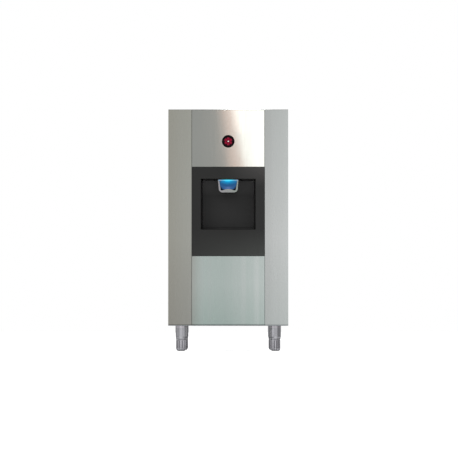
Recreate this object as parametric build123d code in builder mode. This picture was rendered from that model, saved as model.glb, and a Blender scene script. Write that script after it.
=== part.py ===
from build123d import *
import math
import os

# Floor-standing ice dispenser base: an ice maker on its deck drops ice into an insulated bin.
# A paddle wheel lifts the ice to a gated port, and a chute brings it to the spout.
# Millimetres, +Z up, the front faces -Y, and the origin is the middle of the footprint on the floor.

# Whole object
overall_width = 560.0
overall_depth = 790.0
overall_height = 1128.0
leg_height = 118.0

# Sheet metal, gaps and fits
sheet = 1.2
base_sheet = 2.0
bend_radius = 2.4
return_depth = 20.0
rear_hem = 22.0
pillar_width = 109.6
seam = 0.7
panel_seam = 0.6
base_reveal = 1.5
panel_edge_radius = 0.9
flat_gap = 0.3
fit_gap = 0.05
overrun = 2.0

# Front panels, from the top down
upper_panel_height = 266.4
dispense_panel_height = 416.4

# Badge
badge_radius = 29.5
badge_drop = 147.4
badge_proud = 2.0
badge_edge = 0.6
badge_pin_radius = 1.5
badge_pin_length = 5.0
badge_pin_spacing = 32.0

# Base pan
base_flange = 28.0
base_corner_radius = 2.0
base_slot_length = 60.0
base_slot_width = 6.0
base_slot_pitch = 16.0
base_slot_rows = 7
base_slot_spread = 220.0

# Legs and feet
leg_inset = 59.0
leg_radius = 26.2
leg_wall = 2.5
leg_top_wall = 6.0
leg_end_wall = 9.0
leg_end_height = 5.0
leg_taper_height = 8.0
leg_end_radius = 24.4
stud_radius = 6.0
nut_across = 19.0
nut_height = 10.0
stud_above_nut = 3.0
washer_radius = 20.0
washer_thickness = 3.0
foot_height = 53.5
foot_radius = 23.9
foot_edge_radius = 12.5
foot_collar_height = 3.0
foot_collar_step = 0.6
foot_flutes = 12
flute_radius = 3.6
flute_depth = 2.0
flute_low = 6.0
flute_high = 49.0
foot_stem_radius = 12.5
foot_stem_top = 104.0
foot_gap = 0.5

# Welded frames
front_tube = 18.0
front_tube_wall = 1.5
frame_tube = 25.0
frame_tube_wall = 2.0

# Top deck
deck_flange = 22.0
ice_opening_side_inset = 50.8
ice_opening_front_inset = 52.0
ice_opening_rear_inset = 22.3
ice_opening_radius = 20.0
deck_collar = 18.0
deck_hole_radius = 4.5
deck_hole_side_inset = 40.0
deck_hole_end_inset = 65.0
deck_hole_bore_radius = 10.0
deck_hole_bore_depth = 30.0

# Back panel
vent_slot_length = 120.0
vent_slot_width = 7.0
vent_pitch = 18.0
vent_rows = 9
vent_columns = 2
vent_column_spacing = 200.0
vent_middle_height = 290.0
screw_head_radius = 4.0
screw_head_height = 2.2
screw_radius = 2.0
screw_length = 9.0
screw_columns = 5
screw_side_inset = 60.0
screw_flange_share = 0.5
screw_foam_play = 1.0

# Dispensing recess in the black panel
panel_wall = 3.0
recess_drop = 55.1
recess_width = 256.7
recess_height = 237.5
recess_depth = 125.0
recess_side_draft = 8.1
recess_top_draft = 4.2
recess_cove = 13.0

# Drip tray and grille
tray_width = 190.0
tray_length = 95.0
tray_setback = 10.0
tray_rim = 7.0
tray_rim_height = 2.0
tray_depth = 26.0
tray_wall = 2.0
tray_ledge = 3.0
grille_thickness = 4.0
grille_slots = 15
grille_slot_width = 6.0
grille_slot_pitch = 10.5
grille_border = 9.0
tray_spout_length = 18.0

# Spout, its silver bezel and the blue button
spout_top_width = 96.8
spout_bottom_width = 86.0
spout_height = 64.5
spout_corner = 18.0
spout_wall = 3.0
spout_front_wall = 2.5
bezel_depth = 6.0
bezel_proud = 1.0
bezel_top_drop = 4.5
bezel_top_corner = 3.0
bezel_strip = 10.4
bezel_edge = 0.8
window_top_width = 86.6
window_bottom_width = 66.0
window_corner = 3.0
arch_width = 52.0
arch_height = 6.2
arch_thickness = 2.2
button_thickness = 3.0
button_gap = 0.5
button_strip_gap = 4.8
button_corner = 12.0
button_setback = 3.0
button_pin_radius = 1.5
button_barrel_radius = 3.0
button_pin_drop = 9.8
button_pin_bite = 4.0
button_spring_length = 7.0
button_edge = 0.8
lever_radius = 7.0
lever_thickness = 2.4
lever_width = 4.0
lever_x = 38.0
lever_tip = 1.5
spring_wire_radius = 0.35
spring_coil_radius = 2.6
spring_pitch = 1.5
switch_width = 20.0
switch_height = 10.0
switch_plunger_radius = 1.2
switch_plunger_gap = 0.5
switch_plunger_depth = 4.0
led_board_width = 66.0
led_board_depth = 5.0
led_board_thickness = 1.6
led_radius = 1.5
led_height = 1.2
led_spacing = 24.0
led_count = 3

# Ice chute and gate
port_width = 72.0
port_height = 60.0
chute_wall = 2.5
chute_angle = 28.0
throat_setback = 16.0
throat_length = 54.0
chute_nose_height = 24.0
chute_knee_offset = 19.0
chute_knee_height = 43.0
gate_box_length = 55.0
gate_box_rise = 12.0
gate_standoff = 5.0
gate_pin_rise = 6.0
gate_thickness = 3.0
gate_floor_gap = 1.5
gate_side_gap = 1.0
gate_barrel_radius = 5.0
gate_pin_radius = 3.0
gate_pin_overhang = 3.5
crank_radius = 26.0
crank_half_angle = 22.5
crank_width = 10.0
crank_thickness = 4.0
crank_gap = 2.0
crank_pin_radius = 2.0
crank_pin_length = 14.0
lug_thickness = 4.0
lug_reach = 6.0
lug_slot_play = 1.0
solenoid_size = 30.0
solenoid_height = 45.0
solenoid_rise = 8.0
solenoid_bracket_sheet = 2.0
solenoid_bracket_height = 42.0
plunger_radius = 6.0
plunger_depth = 12.0
plunger_bore_depth = 36.0

# Insulated bin
foam_side = 53.5
foam_front = 40.0
foam_rear = 45.0
foam_bottom = 42.0
liner = 3.0
liner_rim = 15.0
baffle_sheet = 1.5
baffle_low = 60.0
baffle_roof_rise = 34.0

# Paddle wheel and stirring shaft
wheel_clearance = 8.0
wheel_top_lead = 2.0
wheel_front_gap = 8.0
wheel_width = 50.0
wheel_vanes = 8
vane_thickness = 6.0
hub_radius = 30.0
wheel_disc_radius = 95.0
wheel_disc_thickness = 4.0
baffle_gap = 8.0
shaft_radius = 10.0
shaft_nose = 1.0
key_width = 6.0
key_depth = 3.0
key_rise = 2.8
stir_bar_radius = 6.0
stir_bar_clearance = 25.8
stir_bar_count = 3
stir_bar_first = 76.0
stir_bar_last = 100.3
stir_bar_turn = 60.0
bush_radius = 16.0
bush_lip = 4.0
seal_radius = 19.0
seal_length = 3.5
rear_bush_depth = 22.0
shaft_end_gap = 3.0

# Drive: gearbox and motor
drive_plate_thickness = 3.0
drive_plate_margin = 16.0
gearbox_wall = 3.0
gear_clearance = 3.0
gearbox_corner = 14.0
layer_gap = 1.5
output_face = 10.0
second_face = 9.0
first_face = 8.0
motor_length = 62.0
motor_radius = 42.0
motor_wall = 2.5
motor_end_wall = 3.0
motor_clearance = 6.0
output_module = 1.5
second_module = 1.25
first_module = 1.0
output_teeth = 60
output_pinion_teeth = 15
second_teeth = 60
second_pinion_teeth = 15
first_teeth = 64
motor_pinion_teeth = 16
addendum_share = 0.85
dedendum_share = 1.2
tooth_backlash = 0.2
pressure_angle = 20.0
second_shaft_radius = 5.0
first_shaft_radius = 4.0
motor_shaft_radius = 4.0
second_shaft_turn = -90.0
first_shaft_turn = 10.0
motor_shaft_turn = 90.0
rotor_radius = 24.0
rotor_gap = 0.4
rotor_length = 36.0
stator_length = 40.0
shaft_inset = 0.5

# Electrics
control_width = 70.0
control_length = 120.0
control_height = 210.0
control_front = 48.0
control_low = 590.0
board_thickness = 1.6
board_standoff = 9.0
board_margin = 10.0
board_height = 120.0
standoff_radius = 3.0
relay_size = 16.0
relay_pitch = 24.0
relay_count = 4
terminal_height = 12.0
terminal_depth = 10.0
transformer_size = 44.0
transformer_height = 48.0
transformer_core = 14.0
gland_side_inset = 80.0
gland_height = 200.0
gland_bore = 4.5
gland_stem_radius = 8.0
gland_hex = 24.0
gland_hex_length = 5.0
gland_dome_radius = 10.0
gland_rear_gap = 3.0

# Drain pipes
drain_radius = 16.0
drain_bore = 13.5
drain_stub_radius = 15.0
drain_stub_gap = 3.0
drain_height = 170.0
drain_socket_radius = 19.5
drain_socket_length = 22.0
drain_socket_lead = 30.0
bin_drain_y = 106.0

# Places worked out from the sizes above
half_width = overall_width / 2
rear_y = overall_depth / 2
front_y = badge_proud - overall_depth / 2
inner_half_width = half_width - sheet
pillar_inner_x = half_width - pillar_width
panel_half_width = pillar_inner_x - seam
frame_front_y = front_y + return_depth
back_outer_y = rear_y - rear_hem
back_inner_y = back_outer_y - sheet
base_top_z = leg_height + base_sheet
deck_under_z = overall_height - sheet
panel_top_z = deck_under_z - panel_seam
upper_low_z = panel_top_z - upper_panel_height
dispense_high_z = upper_low_z - panel_seam
dispense_low_z = dispense_high_z - dispense_panel_height
lower_high_z = dispense_low_z - panel_seam
lower_low_z = base_top_z + base_reveal
recess_high_z = dispense_high_z - recess_drop
recess_low_z = recess_high_z - recess_height
recess_back_y = front_y + recess_depth
ceiling_top_z = recess_high_z + panel_wall
throat_front_y = front_y + throat_setback
throat_rear_y = throat_front_y + throat_length
spout_rear_y = throat_rear_y + spout_wall
gear_space = output_face + second_face + first_face + 4 * layer_gap
drive_depth = drive_plate_thickness + 2 * gearbox_wall + gear_space + motor_length + motor_clearance
foam_front_y = recess_back_y + panel_wall + drive_depth
foam_rear_y = back_inner_y - sheet - flat_gap
foam_half_width = inner_half_width - sheet - flat_gap
foam_top_z = deck_under_z - liner
bin_front_y = foam_front_y + foam_front + liner
bin_rear_y = foam_rear_y - foam_rear - liner
bin_radius = foam_half_width - foam_side - liner
chute_rise = (foam_front_y - throat_rear_y) * math.tan(math.radians(chute_angle))
port_low_z = ceiling_top_z + chute_rise
port_high_z = port_low_z + port_height
wheel_radius = bin_radius - wheel_clearance
agitator_z = port_high_z + wheel_top_lead - wheel_radius
foam_low_z = agitator_z - bin_radius - liner - foam_bottom
ice_opening_width = 2 * (bin_radius - ice_opening_side_inset)
ice_opening_front = bin_front_y + ice_opening_front_inset
ice_opening_rear = bin_rear_y - ice_opening_rear_inset
deck_hole_spacing_x = overall_width - 2 * deck_hole_side_inset
deck_hole_spacing_y = overall_depth - 2 * deck_hole_end_inset
screw_spread = overall_width - 2 * screw_side_inset
gland_x = gland_side_inset - half_width


# Shared shapes
def cuboid(x_span, y_span, z_span, mode=Mode.ADD):
    """A box given by its low and high value on each axis."""
    spans = (x_span, y_span, z_span)
    middle = tuple((low + high) / 2 for low, high in spans)
    with Locations(middle):
        Box(*[high - low for low, high in spans], mode=mode)


def bar(start, end, radius, mode=Mode.ADD):
    """A round bar between two points."""
    way = Vector(*end) - Vector(*start)
    with BuildSketch(Plane(origin=start, z_dir=way)) as section:
        Circle(radius)
    extrude(section.sketch, amount=way.length, mode=mode)


def front_plane(y):
    """A plane across the cabinet at depth y: local X is X, local Y is Z, and it looks to the front."""
    return Plane(origin=(0, y, 0), x_dir=(1, 0, 0), z_dir=(0, -1, 0))


def both_sides(value):
    """The span from minus the value to the value."""
    return (-value, value)


def folded_pan(z_span):
    """A centre panel: a face with four returns that end on the front frame."""
    cuboid(both_sides(panel_half_width), (front_y, frame_front_y), z_span)
    inside = (z_span[0] + sheet, z_span[1] - sheet)
    rear = (front_y + sheet, frame_front_y + overrun)
    cuboid(both_sides(panel_half_width - sheet), rear, inside, mode=Mode.SUBTRACT)


os.makedirs("parts", exist_ok=True)

# Base pan: a flat plate under the whole cabinet with upright flanges at the sides and the rear
leg_half_x = half_width - leg_inset
leg_front_y = front_y + leg_inset
leg_rear_y = rear_y - leg_inset
leg_spots = {
    "front_left": (-leg_half_x, leg_front_y),
    "front_right": (leg_half_x, leg_front_y),
    "rear_left": (-leg_half_x, leg_rear_y),
    "rear_right": (leg_half_x, leg_rear_y),
}
flange_top_z = base_top_z + base_flange
flange_front_y = frame_front_y + front_tube
screw_pitch = screw_spread / (screw_columns - 1)
screw_xs = [screw_pitch * i - screw_spread / 2 for i in range(screw_columns)]
base_screw_z = base_top_z + base_flange * screw_flange_share
deck_screw_z = deck_under_z - deck_flange * screw_flange_share

with BuildPart() as base_pan:
    with BuildSketch(Plane.XY.offset(leg_height)):
        with Locations((0, (front_y + rear_y) / 2)):
            RectangleRounded(overall_width, rear_y - front_y, base_corner_radius)
        with Locations(*leg_spots.values()):
            Circle(stud_radius + flat_gap, mode=Mode.SUBTRACT)
        with GridLocations(base_slot_spread, base_slot_pitch, 2, base_slot_rows):
            SlotOverall(base_slot_length, base_slot_width, mode=Mode.SUBTRACT)
    extrude(amount=base_sheet)
    flange_z = (base_top_z, flange_top_z)
    for side in (-1, 1):
        flange_x = sorted((side * inner_half_width, side * (inner_half_width - base_sheet)))
        cuboid(flange_x, (flange_front_y, back_inner_y), flange_z)
    rear_flange_y = (back_inner_y - base_sheet, back_inner_y)
    cuboid(both_sides(inner_half_width), rear_flange_y, flange_z)
    for x in screw_xs:
        start = (x, back_inner_y - base_sheet - overrun, base_screw_z)
        bar(start, (x, back_inner_y + overrun, base_screw_z), screw_radius, mode=Mode.SUBTRACT)
base_pan.part.label = "base_pan"
export_step(base_pan.part, "parts/base_pan.step")

# Legs: a hollow steel tube with a tapered lower end and a stud that passes the base pan
leg_end_z = foot_height + foot_gap
leg_end_top_z = leg_end_z + leg_end_height
leg_taper_z = leg_end_top_z + leg_taper_height
nut_low_z = base_top_z + washer_thickness
stud_top_z = nut_low_z + nut_height + stud_above_nut
bore_radius = foot_stem_radius + fit_gap

with BuildPart() as leg_tubes:
    for x, y in leg_spots.values():
        with BuildSketch(Plane(origin=(x, y, 0), x_dir=(1, 0, 0), z_dir=(0, -1, 0))) as half:
            Polygon(
                (0, leg_height - leg_top_wall),
                (leg_radius - leg_wall, leg_height - leg_top_wall),
                (leg_radius - leg_wall, leg_taper_z),
                (leg_end_radius - leg_wall, leg_end_z + leg_end_wall),
                (bore_radius, leg_end_z + leg_end_wall),
                (bore_radius, leg_end_z),
                (leg_end_radius, leg_end_z),
                (leg_end_radius, leg_end_top_z),
                (leg_radius, leg_taper_z),
                (leg_radius, leg_height),
                (stud_radius, leg_height),
                (stud_radius, stud_top_z),
                (0, stud_top_z),
                align=None,
            )
        revolve(half.sketch, axis=Axis((x, y, 0), (0, 0, 1)))
leg_tubes.part.label = "leg_tubes"
export_step(leg_tubes.part, "parts/leg_tubes.step")

# A washer and a hexagon nut clamp each stud to the base pan
with BuildPart() as leg_nuts:
    for x, y in leg_spots.values():
        with BuildSketch(Plane(origin=(x, y, base_top_z))) as washer:
            Circle(washer_radius)
            Circle(stud_radius + fit_gap, mode=Mode.SUBTRACT)
        extrude(washer.sketch, amount=washer_thickness)
        with BuildSketch(Plane(origin=(x, y, nut_low_z))) as nut:
            RegularPolygon(nut_across / 2, 6, major_radius=False)
            Circle(stud_radius + fit_gap, mode=Mode.SUBTRACT)
        extrude(nut.sketch, amount=nut_height)
leg_nuts.part.label = "leg_nuts"
export_step(leg_nuts.part, "parts/leg_nuts.step")


# A ridge between two flutes faces the front
first_flute_angle = 180 / foot_flutes


def foot_at(x, y):
    """A fluted foot whose stem runs up into the leg tube."""
    with BuildPart() as foot:
        with BuildSketch(Plane(origin=(x, y, 0), x_dir=(1, 0, 0), z_dir=(0, -1, 0))):
            with BuildLine():
                floor = Line((0, 0), (foot_radius - foot_edge_radius, 0))
                edge = RadiusArc(floor @ 1, (foot_radius, foot_edge_radius), -foot_edge_radius)
                Polyline(
                    edge @ 1,
                    (foot_radius, foot_height - foot_collar_height),
                    (foot_radius - foot_collar_step, foot_height - foot_collar_height),
                    (foot_radius - foot_collar_step, foot_height),
                    (foot_stem_radius, foot_height),
                    (foot_stem_radius, foot_stem_top),
                    (0, foot_stem_top),
                    (0, 0),
                )
            make_face()
        revolve(axis=Axis((x, y, 0), (0, 0, 1)))
        with BuildSketch(Plane(origin=(x, y, flute_low))):
            flute_ring = foot_radius + flute_radius - flute_depth
            with PolarLocations(flute_ring, foot_flutes, start_angle=first_flute_angle):
                Circle(flute_radius)
        extrude(amount=flute_high - flute_low, mode=Mode.SUBTRACT)
    return foot


for place, (x, y) in leg_spots.items():
    foot = foot_at(x, y)
    foot.part.label = "foot_" + place
    export_step(foot.part, "parts/foot_" + place + ".step")

# Side panels: one sheet makes the side wall, the front pillar and its return
with BuildPart() as side_panel_right:
    with BuildSketch(Plane.XY.offset(base_top_z)):
        with BuildLine():
            FilletPolyline(
                (half_width, rear_y),
                (half_width, front_y),
                (pillar_inner_x, front_y),
                (pillar_inner_x, frame_front_y),
                radius=bend_radius,
            )
            offset(amount=sheet, side=Side.RIGHT)
        make_face()
    extrude(amount=panel_top_z - base_top_z)
side_panel_right.part.label = "side_panel_right"
export_step(side_panel_right.part, "parts/side_panel_right.step")

with BuildPart() as side_panel_left:
    mirror(side_panel_right.part, about=Plane.YZ)
side_panel_left.part.label = "side_panel_left"
export_step(side_panel_left.part, "parts/side_panel_left.step")

# Back panel: a pan whose hems face the rear, with vent slots and holes for the drain and the gland
screw_spots = [(x, z) for z in (base_screw_z, deck_screw_z) for x in screw_xs]

with BuildPart() as back_panel:
    back_z = (base_top_z, panel_top_z)
    cuboid(both_sides(inner_half_width), (back_inner_y, rear_y), back_z)
    hollow_z = (back_z[0] + sheet, back_z[1] - sheet)
    hollow_y = (back_outer_y, rear_y + overrun)
    cuboid(both_sides(inner_half_width - sheet), hollow_y, hollow_z, mode=Mode.SUBTRACT)
    with BuildSketch(front_plane(back_outer_y + overrun)) as openings:
        with Locations((0, vent_middle_height)):
            with GridLocations(vent_column_spacing, vent_pitch, vent_columns, vent_rows):
                SlotOverall(vent_slot_length, vent_slot_width)
        with Locations((0, drain_height)):
            Circle(drain_radius + fit_gap)
        with Locations((gland_x, gland_height)):
            Circle(gland_stem_radius + fit_gap)
        with Locations(*screw_spots):
            Circle(screw_radius)
    extrude(openings.sketch, amount=sheet + 2 * overrun, mode=Mode.SUBTRACT)
back_panel.part.label = "back_panel"
export_step(back_panel.part, "parts/back_panel.step")

# Pan head screws hold the back panel to the base flange and the deck flange
with BuildPart() as panel_screws:
    for x, z in screw_spots:
        head_end = (x, back_outer_y + screw_head_height, z)
        bar((x, back_outer_y, z), head_end, screw_head_radius)
        bar((x, back_outer_y - screw_length, z), (x, back_outer_y, z), screw_radius)
panel_screws.part.label = "panel_screws"
export_step(panel_screws.part, "parts/panel_screws.step")

# Top deck: a plate that carries the ice maker, with side and rear flanges and an ice drop collar
ice_opening_length = ice_opening_rear - ice_opening_front
ice_opening_middle = (ice_opening_front + ice_opening_rear) / 2
deck_low_z = deck_under_z - deck_flange

with BuildPart() as top_deck:
    with BuildSketch(Plane.XY.offset(deck_under_z)):
        with Locations((0, (front_y + rear_y) / 2)):
            RectangleRounded(overall_width, rear_y - front_y, base_corner_radius)
        with GridLocations(deck_hole_spacing_x, deck_hole_spacing_y, 2, 2):
            Circle(deck_hole_radius, mode=Mode.SUBTRACT)
        with Locations((0, ice_opening_middle)):
            RectangleRounded(
                ice_opening_width, ice_opening_length, ice_opening_radius, mode=Mode.SUBTRACT
            )
    extrude(amount=sheet)
    with BuildSketch(Plane.XY.offset(deck_under_z - deck_collar)):
        with Locations((0, ice_opening_middle)):
            RectangleRounded(
                ice_opening_width + 2 * sheet,
                ice_opening_length + 2 * sheet,
                ice_opening_radius + sheet,
            )
            RectangleRounded(
                ice_opening_width, ice_opening_length, ice_opening_radius, mode=Mode.SUBTRACT
            )
    extrude(amount=deck_collar)
    for side in (-1, 1):
        flange_x = sorted((side * inner_half_width, side * (inner_half_width - sheet)))
        cuboid(flange_x, (flange_front_y, back_inner_y), (deck_low_z, deck_under_z))
    rear_flange_y = (back_inner_y - sheet, back_inner_y)
    cuboid(both_sides(inner_half_width), rear_flange_y, (deck_low_z, deck_under_z))
    for x in screw_xs:
        start = (x, back_inner_y - sheet - overrun, deck_screw_z)
        bar(start, (x, back_inner_y + overrun, deck_screw_z), screw_radius, mode=Mode.SUBTRACT)
top_deck.part.label = "top_deck"
export_step(top_deck.part, "parts/top_deck.step")

# Front frame: square tubes behind the seams, which carry the centre panels and the deck's front
frame_rear_y = frame_front_y + front_tube
upright_x = pillar_inner_x - seam / 2
rail_lows = (
    base_top_z,
    (dispense_low_z + lower_high_z - front_tube) / 2,
    upper_low_z,
    deck_under_z - front_tube,
)

with BuildPart() as front_frame:
    frame_y = (frame_front_y, frame_rear_y)
    bore_y = (frame_front_y + front_tube_wall, frame_rear_y - front_tube_wall)
    for x in both_sides(upright_x):
        upright_span = (x - front_tube / 2, x + front_tube / 2)
        cuboid(upright_span, frame_y, (base_top_z, deck_under_z))
    for low in rail_lows:
        cuboid(both_sides(upright_x), frame_y, (low, low + front_tube))
    for x in both_sides(upright_x):
        bore_x = (
            x - front_tube / 2 + front_tube_wall,
            x + front_tube / 2 - front_tube_wall,
        )
        bore_z = (base_top_z - overrun, deck_under_z + overrun)
        cuboid(bore_x, bore_y, bore_z, mode=Mode.SUBTRACT)
    for low in rail_lows:
        bore_z = (low + front_tube_wall, low + front_tube - front_tube_wall)
        cuboid(both_sides(upright_x), bore_y, bore_z, mode=Mode.SUBTRACT)
front_frame.part.label = "front_frame"
export_step(front_frame.part, "parts/front_frame.step")

# Support frame: four posts and a ring of square tube under the insulated bin
post_outer_x = inner_half_width - base_sheet - flat_gap
post_rear_y = back_inner_y - base_sheet - flat_gap
ring_low_z = foam_low_z - frame_tube
post_xs = (
    (-post_outer_x, frame_tube - post_outer_x),
    (post_outer_x - frame_tube, post_outer_x),
)
post_ys = (
    (foam_front_y, foam_front_y + frame_tube),
    (post_rear_y - frame_tube, post_rear_y),
)


def tube_bore(span):
    """The span inside a tube's walls."""
    return (span[0] + frame_tube_wall, span[1] - frame_tube_wall)


with BuildPart() as support_frame:
    ring_x = both_sides(post_outer_x)
    ring_y = (foam_front_y, post_rear_y)
    ring_z = (ring_low_z, foam_low_z)
    for post_x in post_xs:
        cuboid(post_x, ring_y, ring_z)
        for post_y in post_ys:
            cuboid(post_x, post_y, (base_top_z, foam_low_z))
    for post_y in post_ys:
        cuboid(ring_x, post_y, ring_z)
        cuboid(tube_bore(ring_x), tube_bore(post_y), tube_bore(ring_z), mode=Mode.SUBTRACT)
    for post_x in post_xs:
        cuboid(tube_bore(post_x), tube_bore(ring_y), tube_bore(ring_z), mode=Mode.SUBTRACT)
        for post_y in post_ys:
            bore_z = (base_top_z - overrun, foam_low_z - frame_tube_wall)
            cuboid(tube_bore(post_x), tube_bore(post_y), bore_z, mode=Mode.SUBTRACT)
support_frame.part.label = "support_frame"
export_step(support_frame.part, "parts/support_frame.step")

# Upper and lower front panels, in brushed steel
badge_z = panel_top_z - badge_drop

with BuildPart() as upper_front_panel:
    folded_pan((upper_low_z, panel_top_z))
    fillet(upper_front_panel.faces().sort_by(Axis.Y)[0].edges(), panel_edge_radius)
    for x in both_sides(badge_pin_spacing / 2):
        start = (x, front_y - overrun, badge_z)
        pin_hole = badge_pin_radius + fit_gap
        bar(start, (x, front_y + badge_pin_length, badge_z), pin_hole, mode=Mode.SUBTRACT)
upper_front_panel.part.label = "upper_front_panel"
export_step(upper_front_panel.part, "parts/upper_front_panel.step")

with BuildPart() as lower_front_panel:
    folded_pan((lower_low_z, lower_high_z))
    fillet(lower_front_panel.faces().sort_by(Axis.Y)[0].edges(), panel_edge_radius)
lower_front_panel.part.label = "lower_front_panel"
export_step(lower_front_panel.part, "parts/lower_front_panel.step")

# Badge: a plain round disc held by two pins
with BuildPart() as badge:
    bar((0, front_y, badge_z), (0, front_y - badge_proud, badge_z), badge_radius)
    chamfer(badge.faces().sort_by(Axis.Y)[0].edges(), badge_edge)
    for x in both_sides(badge_pin_spacing / 2):
        bar((x, front_y, badge_z), (x, front_y + badge_pin_length, badge_z), badge_pin_radius)
badge.part.label = "badge"
export_step(badge.part, "parts/badge.step")


# Dispense panel: black moulded panel with a drafted recess
def recess_form(grow, start_y):
    """The recess, grown by a wall: drafted in plan, with a stepped ceiling and a coved floor."""
    front_half = recess_width / 2 + grow
    back_half = front_half - recess_side_draft
    back_y = recess_back_y + grow
    low_z = recess_low_z - grow
    high_z = recess_high_z + grow
    with BuildPart() as form:
        with BuildSketch(Plane.XY.offset(low_z)):
            Polygon(
                (-front_half, start_y),
                (front_half, start_y),
                (front_half, front_y),
                (back_half, back_y),
                (-back_half, back_y),
                (-front_half, front_y),
                align=None,
            )
        extrude(amount=high_z - low_z)
        with BuildSketch(Plane.YZ) as profile:
            Polygon(
                (start_y, low_z),
                (back_y, low_z),
                (back_y, high_z - recess_top_draft),
                (spout_rear_y + overrun, high_z),
                (start_y, high_z),
                align=None,
            )
            corner = profile.vertices().group_by(Axis.Y)[0].sort_by(Axis.X)[-1]
            fillet(corner, recess_cove + grow)
        extrude(amount=front_half, both=True, mode=Mode.INTERSECT)
    return form.part


recess_outer = recess_form(panel_wall, front_y + panel_wall / 2)
recess_inner = recess_form(0, front_y - overrun)
tray_front_y = front_y + tray_setback
tray_rear_y = tray_front_y + tray_length
tray_half = tray_width / 2
well_half = tray_half - tray_rim
well_y = (tray_front_y + tray_rim, tray_rear_y - tray_rim)
pin_z = recess_high_z - button_pin_drop
button_y = front_y - bezel_proud + button_setback
hinge_y = button_y + button_thickness / 2
lever_y = hinge_y + lever_radius
lever_end_y = lever_y + lever_tip
port_half = port_width / 2

with BuildPart() as dispense_panel:
    panel_z = (dispense_low_z, dispense_high_z)
    cuboid(both_sides(panel_half_width), (front_y, frame_front_y), panel_z)
    inside_z = (panel_z[0] + panel_wall, panel_z[1] - panel_wall)
    inside_y = (front_y + panel_wall, frame_front_y + overrun)
    cuboid(both_sides(panel_half_width - panel_wall), inside_y, inside_z, mode=Mode.SUBTRACT)
    fillet(dispense_panel.faces().sort_by(Axis.Y)[0].edges(), panel_edge_radius)
    add(recess_outer)
    add(recess_inner, mode=Mode.SUBTRACT)
    well_hole_y = (well_y[0] - flat_gap, well_y[1] + flat_gap)
    floor_cut = (recess_low_z - panel_wall - overrun, recess_low_z + overrun)
    cuboid(both_sides(well_half + flat_gap), well_hole_y, floor_cut, mode=Mode.SUBTRACT)
    ceiling_cut = (recess_high_z - overrun, ceiling_top_z + overrun)
    cuboid(both_sides(port_half), (throat_front_y, throat_rear_y), ceiling_cut, mode=Mode.SUBTRACT)
    lever_hole_x = (lever_x - lever_width, lever_x + lever_width)
    lever_hole_y = (lever_y - lever_width, throat_front_y - chute_wall)
    cuboid(lever_hole_x, lever_hole_y, ceiling_cut, mode=Mode.SUBTRACT)
dispense_panel.part.label = "dispense_panel"
export_step(dispense_panel.part, "parts/dispense_panel.step")

# Drip tray: its rim lies on the recess floor, and its well hangs through it over the drain
tray_top_z = recess_low_z + tray_rim_height
tray_low_z = recess_low_z - tray_depth
grille_low_z = tray_top_z - grille_thickness
tray_drain_y = (tray_front_y + tray_rear_y) / 2
tray_spout_z = tray_low_z - tray_spout_length

with BuildPart() as drip_tray:
    cuboid(both_sides(tray_half), (tray_front_y, tray_rear_y), (recess_low_z, tray_top_z))
    cuboid(both_sides(well_half), well_y, (tray_low_z, recess_low_z))
    bar((0, tray_drain_y, tray_spout_z), (0, tray_drain_y, tray_low_z), drain_radius)
    seat_half = well_half - tray_wall
    seat_y = (well_y[0] + tray_wall, well_y[1] - tray_wall)
    seat_z = (grille_low_z, tray_top_z + overrun)
    cuboid(both_sides(seat_half), seat_y, seat_z, mode=Mode.SUBTRACT)
    bowl_half = seat_half - tray_ledge
    bowl_y = (seat_y[0] + tray_ledge, seat_y[1] - tray_ledge)
    bowl_z = (tray_low_z + tray_wall, grille_low_z)
    cuboid(both_sides(bowl_half), bowl_y, bowl_z, mode=Mode.SUBTRACT)
    drain_start = (0, tray_drain_y, tray_spout_z - overrun)
    drain_end = (0, tray_drain_y, tray_low_z + tray_wall + overrun)
    bar(drain_start, drain_end, drain_bore, mode=Mode.SUBTRACT)
drip_tray.part.label = "drip_tray"
export_step(drip_tray.part, "parts/drip_tray.step")

# Drip grille: a slotted plate that lifts out of the tray
with BuildPart() as drip_grille:
    grille_half = seat_half - flat_gap
    grille_y = (seat_y[0] + flat_gap, seat_y[1] - flat_gap)
    cuboid(both_sides(grille_half), grille_y, (grille_low_z, tray_top_z))
    slot_length = grille_y[1] - grille_y[0] - 2 * grille_border
    with BuildSketch(Plane.XY.offset(tray_top_z + overrun)):
        with Locations((0, (grille_y[0] + grille_y[1]) / 2)):
            with GridLocations(grille_slot_pitch, 0, grille_slots, 1):
                SlotOverall(slot_length, grille_slot_width, rotation=90)
    extrude(amount=-(grille_thickness + 2 * overrun), mode=Mode.SUBTRACT)
drip_grille.part.label = "drip_grille"
export_step(drip_grille.part, "parts/drip_grille.step")

# Spout: a tapered hood under the recess ceiling, open at the top and the bottom
spout_low_z = recess_high_z - spout_height
spout_lean = (spout_top_width - spout_bottom_width) / 2 / spout_height
window_lean = (window_top_width - window_bottom_width) / 2 / spout_height


def spout_half(z, inset=0.0):
    """Half the spout's width at a height, less an inset."""
    return spout_bottom_width / 2 + (z - spout_low_z) * spout_lean - inset


def window_half(z, inset=0.0):
    """Half the width of the bezel's window at a height, less an inset."""
    return window_bottom_width / 2 + (z - spout_low_z) * window_lean - inset


def tapered_outline(half_at, inset, low_z, high_z, corner):
    """A front outline whose sides follow a half width, with rounded lower corners."""
    with BuildSketch(Plane.XZ) as shape:
        Polygon(
            (-half_at(low_z, inset), low_z),
            (half_at(low_z, inset), low_z),
            (half_at(high_z, inset), high_z),
            (-half_at(high_z, inset), high_z),
            align=None,
        )
        fillet(shape.vertices().group_by(Axis.Y)[0], corner)
    return shape.sketch


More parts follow.
